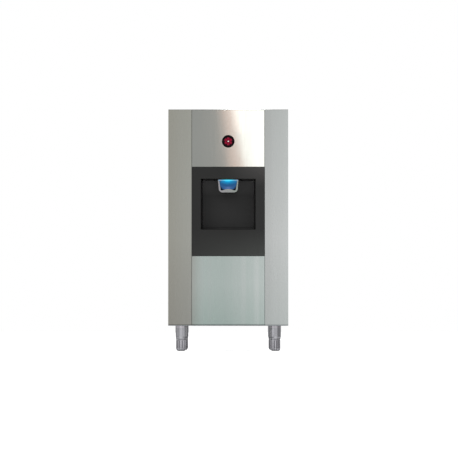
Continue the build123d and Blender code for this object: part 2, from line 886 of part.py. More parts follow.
bezel_top_z = recess_high_z - bezel_top_drop
bezel_front_y = front_y - bezel_proud
bezel_rear_y = bezel_front_y + bezel_depth
wall_front_y = throat_front_y - spout_front_wall
strip_top_z = spout_low_z + bezel_strip
spout_face = tapered_outline(spout_half, 0, spout_low_z, recess_high_z, spout_corner)
pocket_corner = spout_corner - spout_wall
pocket_low_z = spout_low_z + spout_wall
pocket_face = tapered_outline(
    spout_half, spout_wall, pocket_low_z, recess_high_z + overrun, pocket_corner
)

with BuildPart() as spout_body:
    extrude(Pos(0, spout_rear_y, 0) * spout_face, amount=spout_rear_y - bezel_rear_y)
    extrude(
        Pos(0, wall_front_y, 0) * pocket_face,
        amount=wall_front_y - bezel_rear_y + overrun,
        mode=Mode.SUBTRACT,
    )
    throat_low = spout_half(spout_low_z, 2 * spout_wall)
    with BuildSketch(front_plane(throat_rear_y)):
        Polygon(
            (-throat_low, spout_low_z - overrun),
            (throat_low, spout_low_z - overrun),
            (throat_low, spout_low_z),
            (port_half, recess_high_z),
            (port_half, recess_high_z + overrun),
            (-port_half, recess_high_z + overrun),
            (-port_half, recess_high_z),
            (-throat_low, spout_low_z),
            align=None,
        )
    extrude(amount=throat_rear_y - throat_front_y, mode=Mode.SUBTRACT)
spout_body.part.label = "spout_body"
export_step(spout_body.part, "parts/spout_body.step")

# Bezel: two arms and a lower strip with a raised arch in its middle
bezel_face = tapered_outline(spout_half, 0, spout_low_z, bezel_top_z, spout_corner)
window_face = tapered_outline(window_half, 0, strip_top_z, recess_high_z, window_corner)
pin_end_x = window_half(pin_z) + button_pin_bite

with BuildPart() as spout_bezel:
    extrude(Pos(0, bezel_rear_y, 0) * bezel_face, amount=bezel_depth)
    top_corners = spout_bezel.edges().filter_by(Axis.Y).group_by(Axis.Z)[-1]
    fillet(top_corners, bezel_top_corner)
    window_depth = bezel_depth + 2 * overrun
    window = Pos(0, bezel_rear_y + overrun, 0) * window_face
    extrude(window, amount=window_depth, mode=Mode.SUBTRACT)
    with BuildSketch(front_plane(bezel_front_y + arch_thickness)):
        with BuildLine():
            ThreePointArc(
                (-arch_width / 2, strip_top_z),
                (0, strip_top_z + arch_height),
                (arch_width / 2, strip_top_z),
            )
            Polyline(
                (arch_width / 2, strip_top_z),
                (arch_width / 2, strip_top_z - bezel_strip / 2),
                (-arch_width / 2, strip_top_z - bezel_strip / 2),
                (-arch_width / 2, strip_top_z),
            )
        make_face()
    extrude(amount=arch_thickness)
    chamfer(spout_bezel.faces().sort_by(Axis.Y)[0].edges(), bezel_edge)
    pin_start = (-pin_end_x, hinge_y, pin_z)
    pin_hole = button_pin_radius + fit_gap
    bar(pin_start, (pin_end_x, hinge_y, pin_z), pin_hole, mode=Mode.SUBTRACT)
spout_bezel.part.label = "spout_bezel"
export_step(spout_bezel.part, "parts/spout_bezel.step")

# Dispense button: a blue paddle hung on a pin, with a lever that works the micro switch
button_low_z = strip_top_z + button_strip_gap
barrel_half = window_half(pin_z, button_gap)
spring_room = barrel_half - button_spring_length

with BuildPart() as dispense_button:
    button_face = tapered_outline(window_half, button_gap, button_low_z, pin_z, button_corner)
    extrude(Pos(0, button_y + button_thickness, 0) * button_face, amount=button_thickness)
    chamfer(dispense_button.faces().sort_by(Axis.Y)[0].edges(), button_edge)
    bar((-barrel_half, hinge_y, pin_z), (barrel_half, hinge_y, pin_z), button_barrel_radius)
    spring_x = (-barrel_half - overrun, -spring_room)
    spring_y = (hinge_y - button_barrel_radius, hinge_y + button_barrel_radius)
    spring_z = (pin_z - button_barrel_radius - flat_gap, pin_z + button_barrel_radius)
    cuboid(spring_x, spring_y, spring_z, mode=Mode.SUBTRACT)
    lever_span_x = (lever_x - lever_width / 2, lever_x + lever_width / 2)
    lever_span_z = (pin_z - lever_thickness / 2, pin_z + lever_thickness / 2)
    cuboid(lever_span_x, (hinge_y, lever_end_y), lever_span_z)
    bore_end = (barrel_half + overrun, hinge_y, pin_z)
    bore_start = (-barrel_half - overrun, hinge_y, pin_z)
    bar(bore_start, bore_end, button_pin_radius + fit_gap, mode=Mode.SUBTRACT)
dispense_button.part.label = "dispense_button"
export_step(dispense_button.part, "parts/dispense_button.step")

with BuildPart() as button_pin:
    bar(pin_start, (pin_end_x, hinge_y, pin_z), button_pin_radius)
button_pin.part.label = "button_pin"
export_step(button_pin.part, "parts/button_pin.step")

# Return spring: a coil round the left end of the button's pin
coil_length = button_spring_length - 4 * spring_wire_radius
coil_start = (-barrel_half + 2 * spring_wire_radius, hinge_y, pin_z)

with BuildPart() as button_spring:
    with BuildLine() as coil:
        Helix(spring_pitch, coil_length, spring_coil_radius, center=coil_start, direction=(1, 0, 0))
    with BuildSketch(Plane(origin=coil.line @ 0, z_dir=coil.line % 0)):
        Circle(spring_wire_radius)
    sweep(path=coil.line, is_frenet=True)
button_spring.part.label = "button_spring"
export_step(button_spring.part, "parts/button_spring.step")

# Micro switch on the recess ceiling, between the panel and the chute, and its plunger
switch_y = (front_y + panel_wall + flat_gap, throat_front_y - chute_wall - flat_gap)
switch_x = (lever_x - switch_width + lever_width, lever_x + lever_width)
plunger_low_z = pin_z + lever_thickness / 2 + switch_plunger_gap
switch_low_z = ceiling_top_z

with BuildPart() as micro_switch:
    cuboid(switch_x, switch_y, (switch_low_z, switch_low_z + switch_height))
    plunger_hole_top = switch_low_z + 2 * switch_plunger_depth
    hole_start = (lever_x, lever_y, switch_low_z - overrun)
    hole_radius = switch_plunger_radius + fit_gap
    bar(hole_start, (lever_x, lever_y, plunger_hole_top), hole_radius, mode=Mode.SUBTRACT)
micro_switch.part.label = "micro_switch"
export_step(micro_switch.part, "parts/micro_switch.step")

with BuildPart() as switch_plunger:
    plunger_top = (lever_x, lever_y, switch_low_z + switch_plunger_depth)
    bar((lever_x, lever_y, plunger_low_z), plunger_top, switch_plunger_radius)
switch_plunger.part.label = "switch_plunger"
export_step(switch_plunger.part, "parts/switch_plunger.step")

# Lamp board under the recess ceiling, behind the top of the button
with BuildPart() as led_board:
    board_rear_y = wall_front_y
    board_y = (board_rear_y - led_board_depth, board_rear_y)
    board_z = (recess_high_z - led_board_thickness, recess_high_z)
    cuboid(both_sides(led_board_width / 2), board_y, board_z)
    for i in range(led_count):
        x = (i - (led_count - 1) / 2) * led_spacing
        lamp_y = (board_y[0] + board_y[1]) / 2
        bar((x, lamp_y, board_z[0]), (x, lamp_y, board_z[0] - led_height), led_radius)
led_board.part.label = "led_board"
export_step(led_board.part, "parts/led_board.step")

# Ice chute: a duct from the bin's port to the spout, with a raised box for the gate
gate_pin_y = foam_front_y - gate_standoff
gate_pin_z = port_high_z + gate_pin_rise
gate_box_z = gate_pin_z + gate_box_rise
chute_knee_y = throat_front_y + chute_knee_offset


def chute_sides(grow):
    """The chute's side outline, grown by a wall, and cut flush at the throat and at the port."""
    with BuildSketch(Plane.YZ) as outline:
        Polygon(
            (throat_rear_y, ceiling_top_z - overrun),
            (throat_rear_y, ceiling_top_z),
            (foam_front_y, port_low_z),
            (foam_front_y + overrun, port_low_z),
            (foam_front_y + overrun, gate_box_z),
            (foam_front_y - gate_box_length, gate_box_z),
            (chute_knee_y, ceiling_top_z + chute_knee_height),
            (throat_front_y, ceiling_top_z + chute_nose_height),
            (throat_front_y, ceiling_top_z - overrun),
            align=None,
        )
        if grow > 0:
            offset(amount=grow, kind=Kind.INTERSECTION)
    return outline.sketch


with BuildPart() as ice_chute:
    extrude(chute_sides(chute_wall), amount=port_half + chute_wall, both=True)
    extrude(chute_sides(0), amount=port_half, both=True, mode=Mode.SUBTRACT)
    far = overall_depth
    beyond_x = both_sides(overall_width)
    below = (ceiling_top_z - far, ceiling_top_z)
    cuboid(beyond_x, both_sides(far), below, mode=Mode.SUBTRACT)
    behind = (foam_front_y, foam_front_y + far)
    cuboid(beyond_x, behind, both_sides(overall_height), mode=Mode.SUBTRACT)
    pin_reach = port_half + chute_wall + overrun
    hinge_start = (-pin_reach, gate_pin_y, gate_pin_z)
    hinge_radius = gate_pin_radius + fit_gap
    bar(hinge_start, (pin_reach, gate_pin_y, gate_pin_z), hinge_radius, mode=Mode.SUBTRACT)
ice_chute.part.label = "ice_chute"
export_step(ice_chute.part, "parts/ice_chute.step")

# Ice gate: a flap that hangs over the port, fixed to a pin with a crank outside the chute
gate_half = port_half - gate_side_gap

with BuildPart() as ice_gate:
    gate_y = (gate_pin_y - gate_thickness / 2, gate_pin_y + gate_thickness / 2)
    cuboid(both_sides(gate_half), gate_y, (port_low_z + gate_floor_gap, gate_pin_z))
    barrel_start = (-gate_half, gate_pin_y, gate_pin_z)
    bar(barrel_start, (gate_half, gate_pin_y, gate_pin_z), gate_barrel_radius)
    hole_start = (-gate_half - overrun, gate_pin_y, gate_pin_z)
    hole_end = (gate_half + overrun, gate_pin_y, gate_pin_z)
    bar(hole_start, hole_end, gate_pin_radius + fit_gap, mode=Mode.SUBTRACT)
ice_gate.part.label = "ice_gate"
export_step(ice_gate.part, "parts/ice_gate.step")

crank_x = port_half + chute_wall + crank_gap
crank_end_x = crank_x + crank_thickness
crank_dy = crank_radius * math.cos(math.radians(crank_half_angle))
crank_dz = crank_radius * math.sin(math.radians(crank_half_angle))
crank_pin_y = gate_pin_y - crank_dy
crank_pin_z = gate_pin_z - crank_dz

with BuildPart() as gate_pin:
    pin_left = -port_half - chute_wall - gate_pin_overhang
    bar((pin_left, gate_pin_y, gate_pin_z), (crank_end_x, gate_pin_y, gate_pin_z), gate_pin_radius)
    with BuildSketch(Plane.YZ.offset(crank_x)):
        with Locations(((gate_pin_y + crank_pin_y) / 2, (gate_pin_z + crank_pin_z) / 2)):
            SlotCenterToCenter(crank_radius, crank_width, rotation=crank_half_angle)
    extrude(amount=crank_thickness)
    crank_pin_end = (crank_end_x + crank_pin_length, crank_pin_y, crank_pin_z)
    bar((crank_x, crank_pin_y, crank_pin_z), crank_pin_end, crank_pin_radius)
gate_pin.part.label = "gate_pin"
export_step(gate_pin.part, "parts/gate_pin.step")

# Gate solenoid on its bracket, with a slotted plunger that lifts the crank
solenoid_x = crank_end_x + crank_pin_length / 2
solenoid_y = gate_pin_y - (crank_dy + crank_radius) / 2
solenoid_half = solenoid_size / 2
shelf_low_z = gate_pin_z + crank_dz + solenoid_rise
solenoid_low_z = shelf_low_z + solenoid_bracket_sheet
solenoid_span_x = (solenoid_x - solenoid_half, solenoid_x + solenoid_half)
solenoid_span_y = (solenoid_y - solenoid_half, solenoid_y + solenoid_half)

with BuildPart() as solenoid_bracket:
    shelf_y = (solenoid_span_y[0], foam_front_y)
    cuboid(solenoid_span_x, shelf_y, (shelf_low_z, solenoid_low_z))
    plate_y = (foam_front_y - solenoid_bracket_sheet, foam_front_y)
    cuboid(solenoid_span_x, plate_y, (shelf_low_z, shelf_low_z + solenoid_bracket_height))
    hole_start = (solenoid_x, solenoid_y, shelf_low_z - overrun)
    hole_end = (solenoid_x, solenoid_y, solenoid_low_z + overrun)
    bar(hole_start, hole_end, plunger_radius + flat_gap, mode=Mode.SUBTRACT)
solenoid_bracket.part.label = "solenoid_bracket"
export_step(solenoid_bracket.part, "parts/solenoid_bracket.step")

with BuildPart() as gate_solenoid:
    solenoid_high_z = solenoid_low_z + solenoid_height
    cuboid(solenoid_span_x, solenoid_span_y, (solenoid_low_z, solenoid_high_z))
    hole_start = (solenoid_x, solenoid_y, solenoid_low_z - overrun)
    hole_end = (solenoid_x, solenoid_y, solenoid_low_z + plunger_bore_depth)
    bar(hole_start, hole_end, plunger_radius + fit_gap, mode=Mode.SUBTRACT)
gate_solenoid.part.label = "gate_solenoid"
export_step(gate_solenoid.part, "parts/gate_solenoid.step")

with BuildPart() as solenoid_plunger:
    lug_x = (solenoid_x - lug_thickness / 2, solenoid_x + lug_thickness / 2)
    slot_half_height = crank_pin_radius + flat_gap
    slot_front = crank_pin_y - crank_radius + crank_dy - slot_half_height - lug_slot_play
    slot_rear = crank_pin_y + slot_half_height + lug_slot_play
    lug_y = (slot_front - lug_slot_play, slot_rear + lug_slot_play)
    lug_z = (crank_pin_z - slot_half_height - lug_slot_play, crank_pin_z + lug_reach)
    cuboid(lug_x, lug_y, lug_z)
    slot_x = (lug_x[0] - overrun, lug_x[1] + overrun)
    slot_z = (crank_pin_z - slot_half_height, crank_pin_z + slot_half_height)
    cuboid(slot_x, (slot_front, slot_rear), slot_z, mode=Mode.SUBTRACT)
    rod_low = (solenoid_x, solenoid_y, crank_pin_z + lug_reach)
    rod_high = (solenoid_x, solenoid_y, solenoid_low_z + plunger_depth)
    bar(rod_low, rod_high, plunger_radius)
solenoid_plunger.part.label = "solenoid_plunger"
export_step(solenoid_plunger.part, "parts/solenoid_plunger.step")


# Bin: a moulded trough with a half-round floor, set in a block of rigid foam
def trough(radius, y_span, high_z, mode=Mode.ADD):
    """A trough with a half-round floor about the agitator's axis and upright walls."""
    with BuildSketch(front_plane(y_span[1])) as section:
        with Locations((0, agitator_z)):
            Circle(radius)
        with Locations((0, (agitator_z + high_z) / 2)):
            Rectangle(2 * radius, high_z - agitator_z)
    extrude(section.sketch, amount=y_span[1] - y_span[0], mode=mode)


liner_radius = bin_radius + liner
liner_y = (bin_front_y - liner, bin_rear_y + liner)
sleeve_half = port_half + chute_wall
sleeve_z = (port_low_z - chute_wall, port_high_z + chute_wall)

with BuildPart() as bin_liner:
    trough(liner_radius, liner_y, deck_under_z)
    rim_y = (liner_y[0] - liner_rim, liner_y[1] + liner_rim)
    cuboid(both_sides(liner_radius + liner_rim), rim_y, (foam_top_z, deck_under_z))
    cuboid(both_sides(sleeve_half), (foam_front_y, bin_front_y), sleeve_z)
    trough(bin_radius, (bin_front_y, bin_rear_y), deck_under_z + overrun, mode=Mode.SUBTRACT)
    port_y = (foam_front_y - overrun, bin_front_y + overrun)
    cuboid(both_sides(port_half), port_y, (port_low_z, port_high_z), mode=Mode.SUBTRACT)
    bush_start = (0, bin_front_y - liner - overrun, agitator_z)
    bush_end = (0, bin_rear_y + liner + overrun, agitator_z)
    bar(bush_start, bush_end, bush_radius, mode=Mode.SUBTRACT)
    drain_top = (0, bin_drain_y, agitator_z - bin_radius + overrun)
    drain_low = (0, bin_drain_y, agitator_z - liner_radius - overrun)
    bar(drain_low, drain_top, drain_bore, mode=Mode.SUBTRACT)
bin_liner.part.label = "bin_liner"
export_step(bin_liner.part, "parts/bin_liner.step")

with BuildPart() as bin_insulation:
    cuboid(both_sides(foam_half_width), (foam_front_y, foam_rear_y), (foam_low_z, foam_top_z))
    trough(liner_radius, liner_y, deck_under_z + overrun, mode=Mode.SUBTRACT)
    sleeve_y = (foam_front_y - overrun, bin_front_y)
    cuboid(both_sides(sleeve_half), sleeve_y, sleeve_z, mode=Mode.SUBTRACT)
    front_bore = (0, foam_front_y - overrun, agitator_z)
    rear_bore = (0, bin_rear_y + liner + rear_bush_depth, agitator_z)
    bar(front_bore, rear_bore, bush_radius, mode=Mode.SUBTRACT)
    drain_low = (0, bin_drain_y, foam_low_z - overrun)
    bar(drain_low, (0, bin_drain_y, agitator_z), drain_radius + fit_gap, mode=Mode.SUBTRACT)
    for x in both_sides(deck_hole_spacing_x / 2):
        y = deck_hole_spacing_y / 2
        start = (x, y, foam_top_z - deck_hole_bore_depth)
        bar(start, (x, y, deck_under_z), deck_hole_bore_radius, mode=Mode.SUBTRACT)
    for x in screw_xs:
        start = (x, back_outer_y - screw_length - screw_foam_play, deck_screw_z)
        screw_room = screw_radius + screw_foam_play
        bar(start, (x, back_outer_y, deck_screw_z), screw_room, mode=Mode.SUBTRACT)
bin_insulation.part.label = "bin_insulation"
export_step(bin_insulation.part, "parts/bin_insulation.step")

# Baffle: keeps the weight of the ice off the paddle wheel and off the port
wheel_y = (bin_front_y + wheel_front_gap, bin_front_y + wheel_front_gap + wheel_width)
baffle_y = wheel_y[1] + baffle_gap
baffle_roof_z = gate_pin_z + baffle_roof_rise

with BuildPart() as bin_baffle:
    baffle_x = both_sides(bin_radius)
    upright_z = (agitator_z + baffle_low, baffle_roof_z)
    cuboid(baffle_x, (baffle_y, baffle_y + baffle_sheet), upright_z)
    roof_z = (baffle_roof_z, baffle_roof_z + baffle_sheet)
    cuboid(baffle_x, (bin_front_y, baffle_y + baffle_sheet), roof_z)
bin_baffle.part.label = "bin_baffle"
export_step(bin_baffle.part, "parts/bin_baffle.step")

# Agitator: shaft, keys, paddle wheel and stirring bars
gear_rear_y = foam_front_y - drive_plate_thickness - gearbox_wall
output_y = (gear_rear_y - layer_gap - output_face, gear_rear_y - layer_gap)
second_y = (output_y[0] - layer_gap - second_face, output_y[0] - layer_gap)
first_y = (second_y[0] - layer_gap - first_face, second_y[0] - layer_gap)
gear_front_y = first_y[0] - layer_gap
motor_rear_y = gear_front_y - gearbox_wall
shaft_front_y = output_y[0] - shaft_nose
shaft_rear_y = bin_rear_y + liner + rear_bush_depth - shaft_end_gap
stir_bar_reach = bin_radius - stir_bar_clearance
stir_bar_start = wheel_y[1] + stir_bar_first
stir_bar_pitch = (bin_rear_y - stir_bar_last - stir_bar_start) / (stir_bar_count - 1)
stir_bar_ys = [stir_bar_start + stir_bar_pitch * i for i in range(stir_bar_count)]
key_low_z = agitator_z + shaft_radius - key_depth
key_spans = (output_y, wheel_y)


def bar_way(turn):
    """Which way a stirring bar points after a number of turns of its neighbour."""
    angle = math.radians(90 + turn * stir_bar_turn)
    return (math.cos(angle), math.sin(angle))


def stir_bar(index, y, radius, reach, mode=Mode.ADD):
    """A bar through the agitator shaft, turned from the bar in front of it."""
    x_way, z_way = bar_way(index)
    start = (-reach * x_way, y, agitator_z - reach * z_way)
    bar(start, (reach * x_way, y, agitator_z + reach * z_way), radius, mode=mode)


with BuildPart() as agitator_shaft:
    bar((0, shaft_front_y, agitator_z), (0, shaft_rear_y, agitator_z), shaft_radius)
    for y_span in key_spans:
        key_z = (key_low_z, agitator_z + shaft_radius + overrun)
        cuboid(both_sides(key_width / 2), y_span, key_z, mode=Mode.SUBTRACT)
    for i, y in enumerate(stir_bar_ys):
        stir_bar(i, y, stir_bar_radius + fit_gap, 2 * shaft_radius, mode=Mode.SUBTRACT)
agitator_shaft.part.label = "agitator_shaft"
export_step(agitator_shaft.part, "parts/agitator_shaft.step")

with BuildPart() as drive_keys:
    for y_span in key_spans:
        key_z = (key_low_z, agitator_z + shaft_radius + key_rise)
        cuboid(both_sides(key_width / 2), y_span, key_z)
drive_keys.part.label = "drive_keys"
export_step(drive_keys.part, "parts/drive_keys.step")

with BuildPart() as paddle_wheel:
    wheel_plane = Plane(origin=(0, wheel_y[1], agitator_z), x_dir=(1, 0, 0), z_dir=(0, -1, 0))
    vane_length = wheel_radius - hub_radius / 2
    with BuildSketch(wheel_plane):
        Circle(hub_radius)
        with PolarLocations(hub_radius / 2 + vane_length / 2, wheel_vanes):
            Rectangle(vane_length, vane_thickness)
    extrude(amount=wheel_width)
    with BuildSketch(wheel_plane):
        Circle(wheel_disc_radius)
    extrude(amount=wheel_disc_thickness)
    with BuildSketch(wheel_plane.offset(-overrun)):
        Circle(shaft_radius + fit_gap)
        with Locations((0, shaft_radius)):
            Rectangle(key_width, 2 * key_depth)
    extrude(amount=wheel_width + 2 * overrun, mode=Mode.SUBTRACT)
paddle_wheel.part.label = "paddle_wheel"
export_step(paddle_wheel.part, "parts/paddle_wheel.step")

with BuildPart() as stir_bars:
    for i, y in enumerate(stir_bar_ys):
        stir_bar(i, y, stir_bar_radius, stir_bar_reach)
stir_bars.part.label = "stir_bars"
export_step(stir_bars.part, "parts/stir_bars.step")

# Shaft bushes in the bin's front and rear walls, and the seal on the front one
with BuildPart() as shaft_bushes:
    front_bush_y = (foam_front_y - drive_plate_thickness, bin_front_y + bush_lip)
    rear_bush_y = (bin_rear_y - bush_lip, bin_rear_y + liner + rear_bush_depth)
    for low, high in (front_bush_y, rear_bush_y):
        bar((0, low, agitator_z), (0, high, agitator_z), bush_radius)
    bore_start = (0, front_bush_y[0] - overrun, agitator_z)
    bore_end = (0, rear_bush_y[1] - shaft_end_gap / 2, agitator_z)
    bar(bore_start, bore_end, shaft_radius + fit_gap, mode=Mode.SUBTRACT)
shaft_bushes.part.label = "shaft_bushes"
export_step(shaft_bushes.part, "parts/shaft_bushes.step")

with BuildPart() as shaft_seal:
    seal_y = (front_bush_y[1], front_bush_y[1] + seal_length)
    bar((0, seal_y[0], agitator_z), (0, seal_y[1], agitator_z), seal_radius)
    bore_start = (0, seal_y[0] - overrun, agitator_z)
    bore_end = (0, seal_y[1] + overrun, agitator_z)
    bar(bore_start, bore_end, shaft_radius + fit_gap, mode=Mode.SUBTRACT)
shaft_seal.part.label = "shaft_seal"
export_step(shaft_seal.part, "parts/shaft_seal.step")


# Gear train: 64 to 1 in three stages, from the motor up to the agitator shaft
def involute(angle):
    """The involute function of an angle in radians."""
    return math.tan(angle) - angle


def gear_outline(teeth, module, phase):
    """Points round a spur gear with one tooth at the phase angle, in degrees."""
    pitch = teeth * module / 2
    base = pitch * math.cos(math.radians(pressure_angle))
    tip = pitch + addendum_share * module
    root = pitch - dedendum_share * module
    flank_start = max(base, root)
    flank = [root, flank_start, (flank_start + pitch) / 2, pitch, (pitch + tip) / 2, tip]
    if root >= base:
        flank = flank[1:]
    half_tooth = math.pi / (2 * teeth) - tooth_backlash / (4 * pitch)
    offset_angle = half_tooth + involute(math.radians(pressure_angle))
    side = [(r, offset_angle - involute(math.acos(min(1.0, base / r)))) for r in flank]
    points = []
    for tooth in range(teeth):
        middle = math.radians(phase) + 2 * math.pi * tooth / teeth
        lower = [(r, middle - a) for r, a in side]
        upper = [(r, middle + a) for r, a in reversed(side)]
        points += [(r * math.cos(a), r * math.sin(a)) for r, a in lower + upper]
    return points


def spur_gear(x, z, y_span, teeth, module, phase):
    """A spur gear about an axis along Y."""
    plane = Plane(origin=(x, y_span[1], z), x_dir=(1, 0, 0), z_dir=(0, -1, 0))
    with BuildSketch(plane) as section:
        Polygon(*gear_outline(teeth, module, phase), align=None)
    extrude(section.sketch, amount=y_span[1] - y_span[0])


def meshing_phase(turn, phase, teeth, next_teeth):
    """The next gear's phase, where it lies at an angle from a gear of known phase."""
    return turn + 180 + 180 / next_teeth - (phase - turn) * teeth / next_teeth


def next_axis(x, z, turn, module, teeth, next_teeth):
    """The axis of the next gear, at the centre distance of the pair."""
    distance = module * (teeth + next_teeth) / 2
    angle = math.radians(turn)
    return (x + distance * math.cos(angle), z + distance * math.sin(angle))


second_x, second_z = next_axis(
    0, agitator_z, second_shaft_turn, output_module, output_teeth, output_pinion_teeth
)
first_x, first_z = next_axis(
    second_x, second_z, first_shaft_turn, second_module, second_teeth, second_pinion_teeth
)
motor_x, motor_z = next_axis(
    first_x, first_z, motor_shaft_turn, first_module, first_teeth, motor_pinion_teeth
)
output_phase = 0.0
second_pinion_phase = meshing_phase(
    second_shaft_turn, output_phase, output_teeth, output_pinion_teeth
)
second_phase = first_shaft_turn
first_pinion_phase = meshing_phase(
    first_shaft_turn, second_phase, second_teeth, second_pinion_teeth
)
first_phase = motor_shaft_turn
motor_phase = meshing_phase(motor_shaft_turn, first_phase, first_teeth, motor_pinion_teeth)
cover_front_y = motor_rear_y
case_rear_y = foam_front_y - drive_plate_thickness

with BuildPart() as output_gear:
    spur_gear(0, agitator_z, output_y, output_teeth, output_module, output_phase)
    with BuildSketch(front_plane(output_y[1] + overrun)) as bore:
        with Locations((0, agitator_z)):
            Circle(shaft_radius + fit_gap)
        with Locations((0, agitator_z + shaft_radius)):
            Rectangle(key_width, 2 * key_depth)
    extrude(bore.sketch, amount=output_face + 2 * overrun, mode=Mode.SUBTRACT)
output_gear.part.label = "output_gear"
export_step(output_gear.part, "parts/output_gear.step")


def gear_shaft(x, z, radius):
    """A shaft that runs in the gearbox's two walls."""
    bar((x, cover_front_y + shaft_inset, z), (x, case_rear_y - shaft_inset, z), radius)


with BuildPart() as second_gear_shaft:
    gear_shaft(second_x, second_z, second_shaft_radius)
    spur_gear(
        second_x, second_z, output_y, output_pinion_teeth, output_module, second_pinion_phase
    )
    bar((second_x, output_y[0], second_z), (second_x, second_y[1], second_z), second_shaft_radius)
    spur_gear(second_x, second_z, second_y, second_teeth, second_module, second_phase)
second_gear_shaft.part.label = "second_gear_shaft"
export_step(second_gear_shaft.part, "parts/second_gear_shaft.step")

with BuildPart() as first_gear_shaft:
    gear_shaft(first_x, first_z, first_shaft_radius)
    spur_gear(first_x, first_z, second_y, second_pinion_teeth, second_module, first_pinion_phase)
    spur_gear(first_x, first_z, first_y, first_teeth, first_module, first_phase)
first_gear_shaft.part.label = "first_gear_shaft"
export_step(first_gear_shaft.part, "parts/first_gear_shaft.step")

motor_front_y = motor_rear_y - motor_length
rotor_middle_y = (motor_front_y + motor_rear_y) / 2
rotor_y = (rotor_middle_y - rotor_length / 2, rotor_middle_y + rotor_length / 2)
stator_y = (rotor_middle_y - stator_length / 2, rotor_middle_y + stator_length / 2)

with BuildPart() as motor_rotor:
    shaft_start = (motor_x, motor_front_y + shaft_inset, motor_z)
    bar(shaft_start, (motor_x, first_y[1], motor_z), motor_shaft_radius)
    bar((motor_x, rotor_y[0], motor_z), (motor_x, rotor_y[1], motor_z), rotor_radius)
    spur_gear(motor_x, motor_z, first_y, motor_pinion_teeth, first_module, motor_phase)
motor_rotor.part.label = "motor_rotor"
export_step(motor_rotor.part, "parts/motor_rotor.step")

with BuildPart() as motor_stator:
    stator_start = (motor_x, stator_y[0], motor_z)
    stator_end = (motor_x, stator_y[1], motor_z)
    bar(stator_start, stator_end, motor_radius - motor_wall)
    bore_start = (motor_x, stator_y[0] - overrun, motor_z)
    bore_end = (motor_x, stator_y[1] + overrun, motor_z)
    bar(bore_start, bore_end, rotor_radius + rotor_gap, mode=Mode.SUBTRACT)
motor_stator.part.label = "motor_stator"
export_step(motor_stator.part, "parts/motor_stator.step")

with BuildPart() as motor_shell:
    bar((motor_x, motor_front_y, motor_z), (motor_x, motor_rear_y, motor_z), motor_radius)
    bore_start = (motor_x, motor_front_y + motor_end_wall, motor_z)
    bore_end = (motor_x, motor_rear_y + overrun, motor_z)
    bar(bore_start, bore_end, motor_radius - motor_wall, mode=Mode.SUBTRACT)
    hole_start = (motor_x, motor_front_y - overrun, motor_z)
    hole_radius = motor_shaft_radius + fit_gap
    bar(hole_start, bore_start, hole_radius, mode=Mode.SUBTRACT)
motor_shell.part.label = "motor_shell"
export_step(motor_shell.part, "parts/motor_shell.step")

# Gearbox: a dished base that holds the gears and a flat cover that carries the motor
case_margin = gear_clearance + gearbox_wall
output_tip = output_module * (output_teeth / 2 + addendum_share)
second_tip = second_module * (second_teeth / 2 + addendum_share)
first_tip = first_module * (first_teeth / 2 + addendum_share)
case_x = (-output_tip - case_margin, first_x + first_tip + case_margin)
case_z = (second_z - second_tip - case_margin, agitator_z + output_tip + case_margin)
case_middle = ((case_x[0] + case_x[1]) / 2, (case_z[0] + case_z[1]) / 2)
case_width = case_x[1] - case_x[0]
case_height = case_z[1] - case_z[0]
shaft_spots = (
    (0, agitator_z, shaft_radius + flat_gap),
    (second_x, second_z, second_shaft_radius + fit_gap),
    (first_x, first_z, first_shaft_radius + fit_gap),
)

with BuildPart() as gearbox_base:
    with BuildSketch(front_plane(case_rear_y)):
        with Locations(case_middle):
            RectangleRounded(case_width, case_height, gearbox_corner)
    extrude(amount=gearbox_wall + gear_space)
    with BuildSketch(front_plane(gear_rear_y)):
        with Locations(case_middle):
            RectangleRounded(
                case_width - 2 * gearbox_wall,
                case_height - 2 * gearbox_wall,
                gearbox_corner - gearbox_wall,
            )
    extrude(amount=gear_space + overrun, mode=Mode.SUBTRACT)
    for x, z, radius in shaft_spots:
        bar((x, gear_rear_y - overrun, z), (x, case_rear_y + overrun, z), radius, mode=Mode.SUBTRACT)
gearbox_base.part.label = "gearbox_base"
export_step(gearbox_base.part, "parts/gearbox_base.step")

with BuildPart() as gearbox_cover:
    with BuildSketch(front_plane(gear_front_y)):
        with Locations(case_middle):
            RectangleRounded(case_width, case_height, gearbox_corner)
        with Locations((motor_x, motor_z)):
            Circle(motor_radius)
    extrude(amount=gearbox_wall)
    for x, z, radius in (*shaft_spots[1:], (motor_x, motor_z, motor_shaft_radius + fit_gap)):
        start = (x, cover_front_y - overrun, z)
        bar(start, (x, gear_front_y + overrun, z), radius, mode=Mode.SUBTRACT)
gearbox_cover.part.label = "gearbox_cover"
export_step(gearbox_cover.part, "parts/gearbox_cover.step")

with BuildPart() as drive_plate:
    with BuildSketch(front_plane(foam_front_y)):
        with Locations(case_middle):
            RectangleRounded(
                case_width + 2 * drive_plate_margin,
                case_height + 2 * drive_plate_margin,
                gearbox_corner,
            )
        with Locations((0, agitator_z)):
            Circle(bush_radius, mode=Mode.SUBTRACT)
    extrude(amount=drive_plate_thickness)
drive_plate.part.label = "drive_plate"
export_step(drive_plate.part, "parts/drive_plate.step")

# Control box on the left wall, with its cover, board and transformer
control_x = (-inner_half_width, -inner_half_width + control_width)
control_y = (front_y + control_front, front_y + control_front + control_length)
control_z = (control_low, control_low + control_height)

with BuildPart() as control_box:
    cuboid(control_x, control_y, control_z)
    hollow_x = (control_x[0] + sheet, control_x[1] + overrun)
    hollow_y = (control_y[0] + sheet, control_y[1] - sheet)
    hollow_z = (control_z[0] + sheet, control_z[1] - sheet)
    cuboid(hollow_x, hollow_y, hollow_z, mode=Mode.SUBTRACT)
control_box.part.label = "control_box"
export_step(control_box.part, "parts/control_box.step")

with BuildPart() as control_box_cover:
    cuboid((control_x[1], control_x[1] + sheet), control_y, control_z)
control_box_cover.part.label = "control_box_cover"
export_step(control_box_cover.part, "parts/control_box_cover.step")

